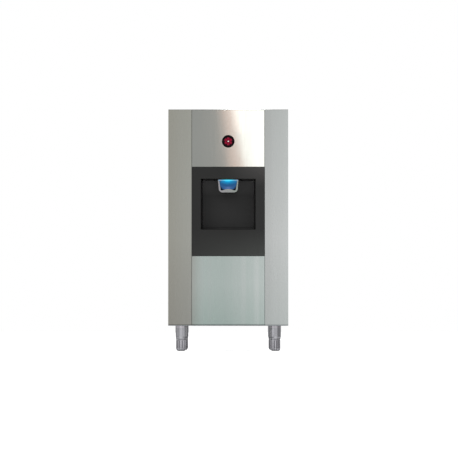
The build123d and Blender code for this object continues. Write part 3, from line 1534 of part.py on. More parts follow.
with BuildPart() as control_board:
    wall_x = control_x[0] + sheet
    board_x = (wall_x + board_standoff, wall_x + board_standoff + board_thickness)
    board_y = (control_y[0] + board_margin, control_y[1] - board_margin)
    board_z = (control_z[0] + board_margin, control_z[0] + board_margin + board_height)
    cuboid(board_x, board_y, board_z)
    for y in (board_y[0] + board_margin, board_y[1] - board_margin):
        for z in (board_z[0] + board_margin, board_z[1] - board_margin):
            bar((wall_x, y, z), (board_x[0], y, z), standoff_radius)
    part_x = (board_x[1], board_x[1] + relay_size)
    for i in range(relay_count):
        low_z = board_z[0] + board_margin + i * relay_pitch
        relay_y = (board_y[0] + board_margin, board_y[0] + board_margin + relay_size)
        cuboid(part_x, relay_y, (low_z, low_z + relay_size))
    terminal_x = (board_x[1], board_x[1] + terminal_depth)
    terminal_z = (board_z[1] - board_margin - terminal_height, board_z[1] - board_margin)
    terminal_y = (relay_y[1] + board_margin, board_y[1] - board_margin)
    cuboid(terminal_x, terminal_y, terminal_z)
control_board.part.label = "control_board"
export_step(control_board.part, "parts/control_board.step")

with BuildPart() as transformer:
    core_x = (wall_x, wall_x + transformer_size)
    core_y = (board_y[0] + board_margin, board_y[0] + board_margin + transformer_core)
    coil_z = (board_z[1] + board_margin, board_z[1] + board_margin + transformer_height)
    cuboid(core_x, core_y, coil_z)
    coil_middle_x = (core_x[0] + core_x[1]) / 2
    coil_middle_z = (coil_z[0] + coil_z[1]) / 2
    coil_start = (coil_middle_x, core_y[0] - transformer_core / 2, coil_middle_z)
    coil_end = (coil_middle_x, core_y[1] + transformer_core / 2, coil_middle_z)
    bar(coil_start, coil_end, transformer_core)
transformer.part.label = "transformer"
export_step(transformer.part, "parts/transformer.step")

# Cable gland in the back panel, with an open bore for the mains lead
with BuildPart() as cable_gland:
    gland_end_y = rear_y - gland_rear_gap
    stem_start_y = back_inner_y - gland_hex_length
    gland_at = (gland_x, gland_height)
    with BuildSketch(front_plane(back_outer_y + gland_hex_length)) as outer_hex:
        with Locations(gland_at):
            RegularPolygon(gland_hex / 2, 6, major_radius=False)
    extrude(outer_hex.sketch, amount=gland_hex_length)
    with BuildSketch(front_plane(back_inner_y)) as inner_hex:
        with Locations(gland_at):
            RegularPolygon(gland_hex / 2, 6, major_radius=False)
    extrude(inner_hex.sketch, amount=gland_hex_length)
    start = (gland_x, stem_start_y, gland_height)
    bar(start, (gland_x, back_outer_y + gland_hex_length, gland_height), gland_stem_radius)
    dome_start = (gland_x, back_outer_y + gland_hex_length, gland_height)
    bar(dome_start, (gland_x, gland_end_y, gland_height), gland_dome_radius)
    fillet(cable_gland.faces().sort_by(Axis.Y)[-1].edges(), gland_bore / 2)
    bore_start = (gland_x, stem_start_y - overrun, gland_height)
    bore_end = (gland_x, gland_end_y + overrun, gland_height)
    bar(bore_start, bore_end, gland_bore, mode=Mode.SUBTRACT)
cable_gland.part.label = "cable_gland"
export_step(cable_gland.part, "parts/cable_gland.step")

# Drain: a main pipe along the base that ends behind the back panel, and two risers in its sockets
drain_front_y = tray_drain_y - drain_socket_lead
drain_end_y = rear_y - drain_stub_gap
socket_top_z = drain_height + drain_radius + drain_socket_length
riser_low_z = drain_height + drain_radius
riser_spots = (tray_drain_y, bin_drain_y)

with BuildPart() as drain_main:
    bar((0, drain_front_y, drain_height), (0, back_outer_y, drain_height), drain_radius)
    bar((0, back_outer_y, drain_height), (0, drain_end_y, drain_height), drain_stub_radius)
    for y in riser_spots:
        bar((0, y, drain_height), (0, y, socket_top_z), drain_socket_radius)
    bore_start = (0, drain_front_y + drain_radius - drain_bore, drain_height)
    bar(bore_start, (0, drain_end_y + overrun, drain_height), drain_bore, mode=Mode.SUBTRACT)
    for y in riser_spots:
        bar((0, y, drain_height), (0, y, riser_low_z), drain_bore, mode=Mode.SUBTRACT)
        socket_end = (0, y, socket_top_z + overrun)
        bar((0, y, riser_low_z), socket_end, drain_radius + fit_gap, mode=Mode.SUBTRACT)
drain_main.part.label = "drain_main"
export_step(drain_main.part, "parts/drain_main.step")

with BuildPart() as drain_risers:
    riser_tops = (tray_spout_z, agitator_z - liner_radius)
    for y, top_z in zip(riser_spots, riser_tops):
        bar((0, y, riser_low_z), (0, y, top_z), drain_radius)
        bore_end = (0, y, top_z + overrun)
        bar((0, y, riser_low_z - overrun), bore_end, drain_bore, mode=Mode.SUBTRACT)
drain_risers.part.label = "drain_risers"
export_step(drain_risers.part, "parts/drain_risers.step")
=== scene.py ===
import logging
import math
from collections.abc import Iterable, Mapping, Sequence
from dataclasses import dataclass, field
from enum import Enum

import bmesh
import bpy
from mathutils import Matrix, Vector


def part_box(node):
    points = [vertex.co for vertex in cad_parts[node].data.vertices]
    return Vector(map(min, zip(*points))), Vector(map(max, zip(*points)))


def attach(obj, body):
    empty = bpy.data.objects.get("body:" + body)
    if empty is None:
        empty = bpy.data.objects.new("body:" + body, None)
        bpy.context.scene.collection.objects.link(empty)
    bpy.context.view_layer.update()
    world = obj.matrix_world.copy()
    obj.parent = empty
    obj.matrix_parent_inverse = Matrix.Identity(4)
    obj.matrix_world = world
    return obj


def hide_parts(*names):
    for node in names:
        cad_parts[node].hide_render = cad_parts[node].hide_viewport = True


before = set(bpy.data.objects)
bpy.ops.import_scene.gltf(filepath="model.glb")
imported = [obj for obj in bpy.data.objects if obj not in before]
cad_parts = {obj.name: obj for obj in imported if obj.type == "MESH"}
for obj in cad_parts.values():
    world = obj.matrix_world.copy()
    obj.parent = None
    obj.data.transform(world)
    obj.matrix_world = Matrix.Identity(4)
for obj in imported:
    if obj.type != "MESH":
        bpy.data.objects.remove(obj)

# Floor-standing ice dispenser base: finishes, small moulded pieces and a plain studio.
# Metres, in the same frame as the construction model: +Z up, and the front faces -Y.

log = logging.getLogger("ice_dispenser")

MM = 0.001
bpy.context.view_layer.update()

Socket = bpy.types.NodeSocket
Tree = bpy.types.NodeTree
Mesh = bmesh.types.BMesh
Rows = Sequence[Sequence[bmesh.types.BMVert]]
Colour = Socket | str
Entry = Socket | str | float | Sequence[float]
Span = tuple[float, float]

# Where most of a noise pattern's values lie, and which way a layer grows over a span
MOST: Span = (0.3, 0.7)
RISING: Span = (0.0, 1.0)
FALLING: Span = (1.0, 0.0)


def linear(code: str) -> tuple[float, float, float, float]:
    """Turn an sRGB hex colour into the linear values that shaders take.

    Args:
        code: Six hex digits, such as "8c908a".

    Returns:
        Red, green and blue, and an alpha of one.
    """
    values = []
    for start in (0, 2, 4):
        share = int(code[start:start + 2], 16) / 255
        values.append(share / 12.92 if share <= 0.04045 else ((share + 0.055) / 1.055) ** 2.4)
    return (values[0], values[1], values[2], 1.0)


def add_node(
    tree: Tree,
    kind: str,
    inputs: Mapping[int | str, Entry] | Sequence[Entry] = (),
    **settings: object,
) -> bpy.types.NodeOutputs:
    """Add a node with its settings and links.

    Args:
        tree: The node tree that gets the node.
        kind: The node's type, without the ShaderNode that it starts with.
        inputs: What each input gets, by name or number, or in the inputs' own order: an output
            of another node, an sRGB hex colour or a value.
        settings: The node's options, by attribute name.

    Returns:
        The new node's outputs.
    """
    node = tree.nodes.new("ShaderNode" + kind)
    for name, choice in settings.items():
        setattr(node, name, choice)
    for key, entry in inputs.items() if isinstance(inputs, Mapping) else enumerate(inputs):
        if isinstance(entry, Socket):
            tree.links.new(entry, node.inputs[key])
        else:
            node.inputs[key].default_value = linear(entry) if isinstance(entry, str) else entry
    return node.outputs


class Blend(Enum):
    """How a layer of colour goes over what is below it."""

    COVER = "MIX"
    TINT = "MULTIPLY"


class Grain(Enum):
    """Which way a brushed surface's scratches run."""

    UPRIGHT = (1, 1, 70)
    CROSSWISE = (70, 1, 1)
    LENGTHWISE = (1, 70, 1)
    ROUND = (70, 70, 1)


def layered(
    tree: Tree,
    under: Colour,
    over: Colour,
    pattern: Socket,
    span: Span = RISING,
    cover: Span = RISING,
    blend: Blend = Blend.COVER,
) -> Socket:
    """Lay one colour over another where a pattern's value goes through a span.

    Args:
        tree: The node tree.
        under: The colour below, a node's output or an sRGB hex colour.
        over: The colour of the layer.
        pattern: The pattern that says where the layer lies.
        span: The pattern's values between which the layer changes.
        cover: How much of the layer shows at these two values.
        blend: How the layer goes over the colour below.

    Returns:
        The colour of both together.
    """
    share = add_node(tree, "MapRange", (pattern, *span, *cover))[0]
    inputs = {0: share, 6: under, 7: over}
    return add_node(tree, "Mix", inputs, data_type="RGBA", blend_type=blend.value)[2]


def mottle(tree: Tree, size_mm: Sequence[float], detail: float = 2.0) -> Socket:
    """Make a soft random pattern whose spots have a real size along each axis.

    Args:
        tree: The node tree.
        size_mm: The spots' size along X, Y and Z, in millimetres.
        detail: How many finer layers the pattern has.

    Returns:
        A value about 0.5, between 0 and 1.
    """
    place = add_node(tree, "TexCoord")["Object"]
    scale = [1 / (size * MM) for size in size_mm]
    spots = add_node(tree, "Mapping", {"Vector": place, "Scale": scale})[0]
    inputs = {"Vector": spots, "Scale": 1.0, "Detail": detail, "Roughness": 0.55}
    return add_node(tree, "TexNoise", inputs)[0]


def box_share(tree: Tree, axis: str) -> Socket:
    """Find how far along a piece's own box a point lies, from 0 to 1.

    Args:
        tree: The node tree.
        axis: "X", "Y" or "Z".

    Returns:
        The share along that axis.
    """
    place = add_node(tree, "TexCoord")["Generated"]
    return add_node(tree, "SeparateXYZ", (place,))[axis]


def skin(
    tree: Tree,
    tone: Socket,
    rough: Socket | float,
    pattern: Socket,
    relief: Span,
    metal: float = 0.0,
    gloss: float = 0.5,
) -> Socket:
    """Make an opaque skin whose fine relief follows a pattern.

    Args:
        tree: The node tree.
        tone: The skin's colour.
        rough: How matt it is.
        pattern: The pattern of the relief.
        relief: The relief's strength, and its depth in millimetres.
        metal: 1 for metal, 0 for anything else.
        gloss: How strongly a skin that isn't metal mirrors the room.

    Returns:
        The shader.
    """
    depth = {"Height": pattern, "Strength": relief[0], "Distance": relief[1] * MM}
    normal = add_node(tree, "Bump", depth)[0]
    inputs = {"Base Color": tone, "Roughness": rough, "Normal": normal, "Metallic": metal}
    return add_node(tree, "BsdfPrincipled", inputs | {"Specular IOR Level": gloss})[0]


def glowing(
    tree: Tree, tone: Socket, roughness: float, gloss: float, glow: float = 0.9, dull_share: float = 0.85
) -> Socket:
    """Make clear plastic that is lit from inside, and nearly black where no lamp reaches.

    Args:
        tree: The node tree.
        tone: The colour that it glows in.
        roughness: How matt its skin is.
        gloss: How strongly its skin mirrors the room.
        glow: How brightly it shines.
        dull_share: How far its own colour is darkened, so that it hardly shows beside the glow.

    Returns:
        The shader.
    """
    dull = add_node(tree, "Mix", {0: dull_share, 6: tone, 7: "000000"}, data_type="RGBA")[2]
    inputs = {"Base Color": dull, "Roughness": roughness, "Specular IOR Level": gloss}
    light = {"Emission Color": tone, "Emission Strength": glow}
    return add_node(tree, "BsdfPrincipled", inputs | light)[0]


@dataclass(frozen=True)
class Finish:
    """What every finish has: a name and a way to make its material."""

    name: str

    def surface(self, tree: Tree) -> Socket:
        """Make the shader and return its output, in each finish's own way."""
        raise NotImplementedError

    def material(self) -> bpy.types.Material:
        """Make the material, or return it if it was made before.

        Returns:
            The material.
        """
        made = bpy.data.materials.get(self.name)
        if made is None:
            made = bpy.data.materials.new(self.name)
            made.use_nodes = True
            made.node_tree.nodes.clear()
            add_node(made.node_tree, "OutputMaterial", {"Surface": self.surface(made.node_tree)})
        return made


@dataclass(frozen=True)
class BrushedSteel(Finish):
    """Stainless steel sheet, brushed with an abrasive belt.

    The scratches run one way, so the sheet looks silky, with soft bands along the grain.
    Real scratches are about 0.1 mm wide. They are drawn wider, so that they show.
    A folded lower edge, or hem, turns away from the light and looks like a dark line.
    The tone that changes across the sheet, on faces that turn sideways, towards its bottom and top and at
    its left edge is painted reflection and painted shade.
    """

    colour: str = "b4b6b4"
    right_reflection_colour: str = "b4b6b4"
    band_colour: str = "abafad"
    low_shade_tint: str = "f4f5f5"
    low_share: float = 0.4
    high_shade_tint: str = "f6f6f6"
    high_share: float = 0.4
    turn_share: float = 0.0
    side_colour: str = ""
    side_span: Span = (0.6, 0.95)
    hem_share: float = 0.0
    hem_start: float = 0.8
    hem_tint: str = "b4b3b5"
    edge_share: float = 0.0
    edge_shade_tint: str = "f0e8e6"
    grain: Grain = Grain.UPRIGHT
    scratch_mm: float = 1.6
    relief: Span = (0.12, 0.05)
    band_mm: float = 38.0
    band_span: Span = (0.45, 0.62)
    band_cover: float = 0.35
    roughness: float = 0.3
    roughness_change: Span = (0.05, -0.04)
    contrast: float = 0.035

    def surface(self, tree: Tree) -> Socket:
        """Make the steel: painted reflection and shade across the sheet, broad bands and fine scratches.

        Args:
            tree: The material's node tree.

        Returns:
            The shader.
        """
        scratches = mottle(tree, [self.scratch_mm * way for way in self.grain.value], detail=3.0)
        bands = mottle(tree, [self.band_mm * way for way in self.grain.value], detail=1.0)
        across, height = box_share(tree, "X"), box_share(tree, "Z")
        # Painted reflection: the tone changes from left to right across the sheet.
        tone = layered(tree, self.colour, self.right_reflection_colour, across, (self.turn_share, 1))
        tone = layered(tree, tone, self.band_colour, bands, self.band_span, (0, self.band_cover))
        # Painted reflection: faces that turn sideways get their own colour.
        if self.side_colour:
            facing = add_node(tree, "TexCoord")["Normal"]
            ways = add_node(tree, "VectorMath", (facing,), operation="ABSOLUTE")[0]
            sideways = add_node(tree, "SeparateXYZ", (ways,))["X"]
            tone = layered(tree, tone, self.side_colour, sideways, self.side_span)
        # Painted shade: darker towards the bottom and the top of the sheet.
        low, high = (0, self.low_share), (1 - self.high_share, 1)
        tone = layered(tree, tone, self.low_shade_tint, height, low, FALLING, Blend.TINT)
        tone = layered(tree, tone, self.high_shade_tint, height, high, RISING, Blend.TINT)
        # Painted shade: darker along the sheet's left edge.
        if self.edge_share:
            edge = (0, self.edge_share)
            tone = layered(tree, tone, self.edge_shade_tint, across, edge, FALLING, Blend.TINT)
        if self.hem_share:
            hem = (self.hem_share * self.hem_start, self.hem_share)
            tone = layered(tree, tone, self.hem_tint, height, hem, FALLING, Blend.TINT)
        dark, pale = 1 - self.contrast, 1 + self.contrast / 2
        shade = add_node(tree, "MapRange", (scratches, *MOST, dark, pale))[0]
        shown = add_node(tree, "VectorMath", {0: tone, "Scale": shade}, operation="SCALE")[0]
        ends = [self.roughness + change for change in self.roughness_change]
        rough = add_node(tree, "MapRange", (scratches, *MOST, *ends))[0]
        return skin(tree, shown, rough, scratches, self.relief, metal=1.0)


@dataclass(frozen=True)
class GalvanisedSheet(Finish):
    """Hot-dip galvanised steel sheet: cool grey, with the zinc's flat crystals as spangles."""

    colour: str = "9da1a3"
    spangle_colour: str = "8b9093"
    spangle_mm: float = 9.0
    roughness: Span = (0.38, 0.52)

    def surface(self, tree: Tree) -> Socket:
        """Make the sheet from crystals of slightly different tone and gloss.

        Args:
            tree: The material's node tree.

        Returns:
            The shader.
        """
        place = add_node(tree, "TexCoord")["Object"]
        spangles = {"Vector": place, "Scale": 1 / (self.spangle_mm * MM), "Randomness": 1.0}
        crystals = add_node(tree, "TexVoronoi", spangles)["Color"]
        share = add_node(tree, "SeparateXYZ", (crystals,))[0]
        tone = layered(tree, self.colour, self.spangle_colour, share)
        rough = add_node(tree, "MapRange", (share, *RISING, *self.roughness))[0]
        inputs = {"Base Color": tone, "Metallic": 1.0, "Roughness": rough}
        return add_node(tree, "BsdfPrincipled", inputs)[0]


@dataclass(frozen=True)
class Ring:
    """A ring of another tone round a turned piece, by shares of the piece's height."""

    low: float
    high: float
    colour: str


@dataclass(frozen=True)
class TurnedMetal(Finish):
    """Turned, plated or drawn metal: fine even tool lines and a soft shine.

    A leg mirrors the floor and the cabinet, so its ends and steps show as rings of another tone.
    A flute's hollow mirrors a darker part of the room than the ridges beside it.
    """

    colour: str = "b0b1b5"
    mark_colour: str = "97989c"
    line_mm: float = 0.9
    relief: Span = (0.2, 0.05)
    stain_mm: float = 14.0
    stain_span: Span = (0.4, 0.7)
    stain_cover: float = 0.7
    grain: Grain = Grain.ROUND
    roughness: float = 0.3
    roughness_change: Span = (-0.05, 0.08)
    right_reflection_colour: str = ""
    rings: tuple[Ring, ...] = ()
    ring_blur: float = 0.01
    flutes: int = 0
    flute_top: float = 1.0
    flute_span: Span = (0.3, -0.5)
    hollow_tint: str = "ffffff"

    def flute_share(self, tree: Tree) -> Socket:
        """Find how deep in a flute a point lies.

        Args:
            tree: The material's node tree.

        Returns:
            1 in the hollows, and 0 on the ridges and above the flutes.
        """
        place = add_node(tree, "TexCoord")["Generated"]
        from_axis = add_node(tree, "VectorMath", (place, (0.5, 0.5, 0)), operation="SUBTRACT")[0]
        parts = add_node(tree, "SeparateXYZ", (from_axis,))
        angle = add_node(tree, "Math", (parts["Y"], parts["X"]), operation="ARCTAN2")[0]
        turns = add_node(tree, "Math", (angle, self.flutes), operation="MULTIPLY")[0]
        wave = add_node(tree, "Math", (turns,), operation="COSINE")[0]
        hollow = add_node(tree, "MapRange", (wave, *self.flute_span, *RISING))[0]
        top = (self.flute_top - self.ring_blur, self.flute_top)
        below = add_node(tree, "MapRange", (parts["Z"], *top, *FALLING))[0]
        return add_node(tree, "Math", (hollow, below), operation="MULTIPLY")[0]

    def surface(self, tree: Tree) -> Socket:
        """Make the metal with its tool lines, slight stains, rings and flutes.

        Args:
            tree: The material's node tree.

        Returns:
            The shader.
        """
        lines = mottle(tree, [self.line_mm * way for way in self.grain.value], detail=2.0)
        stains = mottle(tree, (self.stain_mm,) * 3, detail=3.0)
        across, height = box_share(tree, "X"), box_share(tree, "Z")
        # Painted reflection: the tone changes from left to right.
        tone = layered(tree, self.colour, self.right_reflection_colour or self.colour, across)
        tone = layered(tree, tone, self.mark_colour, stains, self.stain_span, (0, self.stain_cover))
        for ring in self.rings:
            ringed = layered(tree, tone, ring.colour, height, (ring.low - self.ring_blur, ring.low))
            tone = layered(tree, ringed, tone, height, (ring.high, ring.high + self.ring_blur))
        if self.flutes:
            tone = layered(tree, tone, self.hollow_tint, self.flute_share(tree), blend=Blend.TINT)
        ends = [self.roughness + change for change in self.roughness_change]
        rough = add_node(tree, "MapRange", (stains, *MOST, *ends))[0]
        return skin(tree, tone, rough, lines, self.relief, metal=1.0)


@dataclass(frozen=True)
class CastAluminium(Finish):
    """Pressure-cast aluminium: pale, matte and faintly grainy from the die."""

    colour: str = "b5b6b8"
    flow_colour: str = "9c9da0"
    flow_mm: float = 30.0
    flow_span: Span = (0.35, 0.7)
    flow_cover: float = 0.6
    grain_mm: float = 0.8
    relief: Span = (0.3, 0.1)
    roughness: float = 0.5

    def surface(self, tree: Tree) -> Socket:
        """Make the casting with its grain and flow marks.

        Args:
            tree: The material's node tree.

        Returns:
            The shader.
        """
        grain = mottle(tree, (self.grain_mm,) * 3, detail=3.0)
        flow = mottle(tree, (self.flow_mm,) * 3, detail=2.0)
        tone = layered(tree, self.colour, self.flow_colour, flow, self.flow_span, (0, self.flow_cover))
        return skin(tree, tone, self.roughness, grain, self.relief, metal=1.0)


@dataclass(frozen=True)
class MouldedPlastic(Finish):
    """Injection-moulded or extruded plastic with a spark-eroded texture.

    The texture breaks up the shine, so that the plastic looks soft and even from a step away.
    """

    colour: str = "1c1c1b"
    painted_shade_and_dust_colour: str = "1c1c1b"
    texture_mm: float = 0.6
    relief: Span = (0.3, 0.04)
    dust_mm: tuple[float, float, float] = (45.0, 45.0, 60.0)
    dust_span: Span = (0.45, 0.8)
    dust_cover: float = 0.25
    roughness: float = 0.5
    roughness_change: Span = (-0.03, 0.05)
    gloss: float = 0.5

    def surface(self, tree: Tree) -> Socket:
        """Make the plastic: painted shade that changes towards the lower right, a fine texture and a
        little dust.

        Args:
            tree: The material's node tree.

        Returns:
            The shader.
        """
        across, height = box_share(tree, "X"), box_share(tree, "Z")
        # Painted shade: the tone changes towards the piece's lower right.
        down = add_node(tree, "MapRange", (height, *RISING, *FALLING))[0]
        painted_shade = add_node(tree, "Math", (across, down), operation="MULTIPLY")[0]
        grain = mottle(tree, (self.texture_mm,) * 3, detail=2.0)
        dust = mottle(tree, self.dust_mm, detail=3.0)
        tone = layered(tree, self.colour, self.painted_shade_and_dust_colour, painted_shade)
        tone = layered(tree, tone, self.painted_shade_and_dust_colour, dust, self.dust_span, (0, self.dust_cover))
        ends = [self.roughness + change for change in self.roughness_change]
        rough = add_node(tree, "MapRange", (dust, *MOST, *ends))[0]
        return skin(tree, tone, rough, grain, self.relief, gloss=self.gloss)


@dataclass(frozen=True)
class Catch:
    """A corner that catches the room's light: where it changes, and how much of it shows there."""

    colour: str
    z_span: Span = RISING
    z_cover: Span = RISING
    x_span: Span = RISING
    x_cover: Span = RISING


@dataclass(frozen=True)
class RecessedPlastic(Finish):
    """Vacuum-formed black plastic with a soft sheen.

    The back of the recess is painted lighter, most near its top, to stand for light that reaches into it,
    and the cove at its foot gets a painted shadow.
    Its right-hand corners catch the room's light: cool near the floor and warm near the top.
    """

    colour: str = "141413"
    right_reflection_colour: str = "1a1a1a"
    right_reflection_span: Span = (0.6, 1.0)
    low_catch: Catch = Catch("333533", z_span=(0.0, 0.3), z_cover=FALLING, x_cover=(0.25, 1.0))
    high_catch: Catch = Catch("3b3938", z_span=(0.78, 1.0), x_span=(0.45, 1.0))
    back_painted_light_colour: str = "242424"
    back_top_painted_light_colour: str = "4a4a4a"
    cove_painted_shade_colour: str = "060606"
    back_y: Span = (-0.285, -0.270)
    back_high_z: Span = (0.73, 0.79)
    cove_z: Span = (0.58, 0.5845)
    texture_mm: float = 0.6
    relief: Span = (0.3, 0.04)
    roughness: float = 0.45
    gloss: float = 0.28

    def surface(self, tree: Tree) -> Socket:
        """Make the plastic with painted light at the back and towards its right-hand corners, and a
        painted shadow in the cove.

        Args:
            tree: The material's node tree.

        Returns:
            The shader.
        """
        across, height = box_share(tree, "X"), box_share(tree, "Z")
        # Painted reflection: lighter towards the right-hand side.
        front = layered(tree, self.colour, self.right_reflection_colour, across, self.right_reflection_span)
        for catch in (self.low_catch, self.high_catch):
            upward = add_node(tree, "MapRange", (height, *catch.z_span, *catch.z_cover))[0]
            aside = add_node(tree, "MapRange", (across, *catch.x_span, *catch.x_cover))[0]
            corner = add_node(tree, "Math", (aside, upward), operation="MULTIPLY")[0]
            front = layered(tree, front, catch.colour, corner)
        # Painted light on the back wall, most near its top, and a painted shadow in the cove at its foot.
        place = add_node(tree, "TexCoord")["Object"]
        parts = add_node(tree, "SeparateXYZ", (place,))
        painted_light_wall = layered(tree, self.back_painted_light_colour, self.back_top_painted_light_colour, parts["Z"], self.back_high_z)
        behind = layered(tree, self.cove_painted_shade_colour, painted_light_wall, parts["Z"], self.cove_z)
        tone = layered(tree, front, behind, parts["Y"], self.back_y)
        grain = mottle(tree, (self.texture_mm,) * 3, detail=2.0)
        return skin(tree, tone, self.roughness, grain, self.relief, gloss=self.gloss)


@dataclass(frozen=True)
class BackLitPlastic(Finish):
    """Clear blue polycarbonate with lamps above its upper edge.

    The light enters at the top middle, so the blue fades from cyan to dull violet lower down.
    Spans are shares of the way from the lamps to the button's lower edge.
    """

    lamp_colour: str = "14c4f6"
    upper_colour: str = "0086be"
    upper_span: Span = (0.07, 0.22)
    lower_colour: str = "1a5080"
    lower_span: Span = (0.2, 0.5)
    rim_colour: str = "4c6698"
    rim_span: Span = (0.64, 0.8)
    rim_side_span: Span = (0.1, 0.5)
    rim_side_cover: Span = (1.0, 0.2)
    edge_colour: str = "0b1729"
    edge_span: Span = (0.5, 0.72)
    spread: tuple[float, float, float] = (0.42, 1.0, 1.0)
    wave_mm: tuple[float, float, float] = (9.0, 9.0, 3.0)
    wave_reach: float = 0.06
    lamp_z: float = 0.0
    half_width: float = 0.04
    height: float = 0.045
    roughness: float = 0.16
    gloss: float = 0.15

    def surface(self, tree: Tree) -> Socket:
        """Make the plastic from rings of light about the lamps.

        Args:
            tree: The material's node tree.

        Returns:
            The shader.
        """
        place = add_node(tree, "TexCoord")["Object"]
        parts = add_node(tree, "SeparateXYZ", (place,))
        width, drop = (-self.half_width, self.half_width), (self.lamp_z - self.height, self.lamp_z)
        aside = add_node(tree, "MapRange", (parts["X"], *width, -1, 1))[0]
        down = add_node(tree, "MapRange", (parts["Z"], *drop, *FALLING))[0]
        flat = add_node(tree, "CombineXYZ", (aside, down))[0]
        squeezed = add_node(tree, "VectorMath", (flat, self.spread), operation="MULTIPLY")[0]
        reach = add_node(tree, "VectorMath", (squeezed,), operation="LENGTH")[1]
        waves = mottle(tree, self.wave_mm, detail=2.0)
        wobble = add_node(tree, "MapRange", (waves, *MOST, -self.wave_reach, self.wave_reach))[0]
        light = add_node(tree, "Math", (reach, wobble), operation="ADD")[0]
        side = add_node(tree, "Math", (aside,), operation="ABSOLUTE")[0]
        far = add_node(tree, "MapRange", (light, *self.rim_span, *RISING))[0]
        inward = add_node(tree, "MapRange", (side, *self.rim_side_span, *self.rim_side_cover))[0]
        rim = add_node(tree, "Math", (far, inward), operation="MULTIPLY")[0]
        corner = add_node(tree, "Math", (side, down), operation="MULTIPLY")[0]
        tone = layered(tree, self.lamp_colour, self.upper_colour, light, self.upper_span)
        tone = layered(tree, tone, self.lower_colour, light, self.lower_span)
        tone = layered(tree, tone, self.rim_colour, rim)
        tone = layered(tree, tone, self.edge_colour, corner, self.edge_span)
        return glowing(tree, tone, self.roughness, self.gloss)


@dataclass(frozen=True)
class LightGuide(Finish):
    """Clear acrylic bar, moulded and polished, lit from behind by the lamps in its middle."""

    middle_colour: str = "47dcfb"
    side_colour: str = "5f9cc4"
    side_span: Span = (0.22, 0.62)
    end_colour: str = "7f8f9c"
    end_span: Span = (0.62, 0.98)
    flow_mm: tuple[float, float, float] = (6.0, 6.0, 2.0)
    flow_span: Span = (0.35, 0.7)
    flow_cover: float = 0.12
    roughness: float = 0.12
    gloss: float = 0.3

    def surface(self, tree: Tree) -> Socket:
        """Make the acrylic, which glows less towards its ends.

        Args:
            tree: The material's node tree.

        Returns:
            The shader.
        """
        aside = add_node(tree, "MapRange", (box_share(tree, "X"), *RISING, -1, 1))[0]
        reach = add_node(tree, "Math", (aside,), operation="ABSOLUTE")[0]
        flow = mottle(tree, self.flow_mm, detail=2.0)
        tone = layered(tree, self.middle_colour, self.side_colour, reach, self.side_span)
        tone = layered(tree, tone, self.end_colour, reach, self.end_span)
        tone = layered(tree, tone, self.side_colour, flow, self.flow_span, (0, self.flow_cover))
        return glowing(tree, tone, self.roughness, self.gloss)


@dataclass(frozen=True)
class Enamel(Finish):
    """Stove enamel or gloss lacquer: an even colour under a smooth, slightly rippled skin."""

    colour: str = "0b0b0c"
    ripple_colour: str = "8a8a8a"
    ripple_mm: float = 2.5
    relief: Span = (0.1, 0.03)
    ripple_span: Span = (0.35, 0.7)
    ripple_cover: float = 0.015
    roughness: float = 0.2
    gloss: float = 0.5

    def surface(self, tree: Tree) -> Socket:
        """Make the enamel with its orange-peel ripple.

        Args:
            tree: The material's node tree.

        Returns:
            The shader.
        """
        ripple = mottle(tree, (self.ripple_mm,) * 3, detail=1.0)
        cover = (0, self.ripple_cover)
        tone = layered(tree, self.colour, self.ripple_colour, ripple, self.ripple_span, cover)
        return skin(tree, tone, self.roughness, ripple, self.relief, gloss=self.gloss)


@dataclass(frozen=True)
class CircuitLaminate(Finish):
    """Glass-fibre laminate under green solder mask, with copper tracks that show through."""

    mask_colour: str = "14532a"
    far_mask_colour: str = "1a6434"
    track_colour: str = "4c9a5c"
    track_mm: float = 4.0
    run_tracks: float = 4.0
    track_width: float = 0.03
    roughness: float = 0.3

    def surface(self, tree: Tree) -> Socket:
        """Make the board with tracks as a grid of short runs.

        Args:
            tree: The material's node tree.

        Returns:
            The shader.
        """
        place = add_node(tree, "TexCoord")["Object"]
        upright = add_node(tree, "Mapping", {"Vector": place, "Rotation": (0, math.pi / 2, 0)})[0]
        runs = {
            "Vector": upright,
            "Scale": 1 / (self.track_mm * self.run_tracks * MM),
            "Mortar Size": self.track_width,
            "Color1": self.mask_colour,
            "Color2": self.far_mask_colour,
            "Mortar": self.track_colour,
        }
        tracks = add_node(tree, "TexBrick", runs)["Color"]
        return add_node(tree, "BsdfPrincipled", {"Base Color": tracks, "Roughness": self.roughness})[0]


@dataclass(frozen=True)
class FoamBlock(Finish):
    """Rigid polyurethane foam: straw yellow, dull, with cut cells."""

    colour: str = "e0cf9b"
    wall_colour: str = "c2ab6e"
    cell_mm: float = 1.5
    cell_span: Span = (0.0, 0.8)
    relief: Span = (0.5, 0.4)
    roughness: float = 0.9
    gloss: float = 0.2

    def surface(self, tree: Tree) -> Socket:
        """Make the foam from small open cells.

        Args:
            tree: The material's node tree.

        Returns:
            The shader.
        """
        place = add_node(tree, "TexCoord")["Object"]
        cells = {"Vector": place, "Scale": 1 / (self.cell_mm * MM)}
        distance = add_node(tree, "TexVoronoi", cells)["Distance"]
        tone = layered(tree, self.colour, self.wall_colour, distance, self.cell_span)
        return skin(tree, tone, self.roughness, distance, self.relief, gloss=self.gloss)


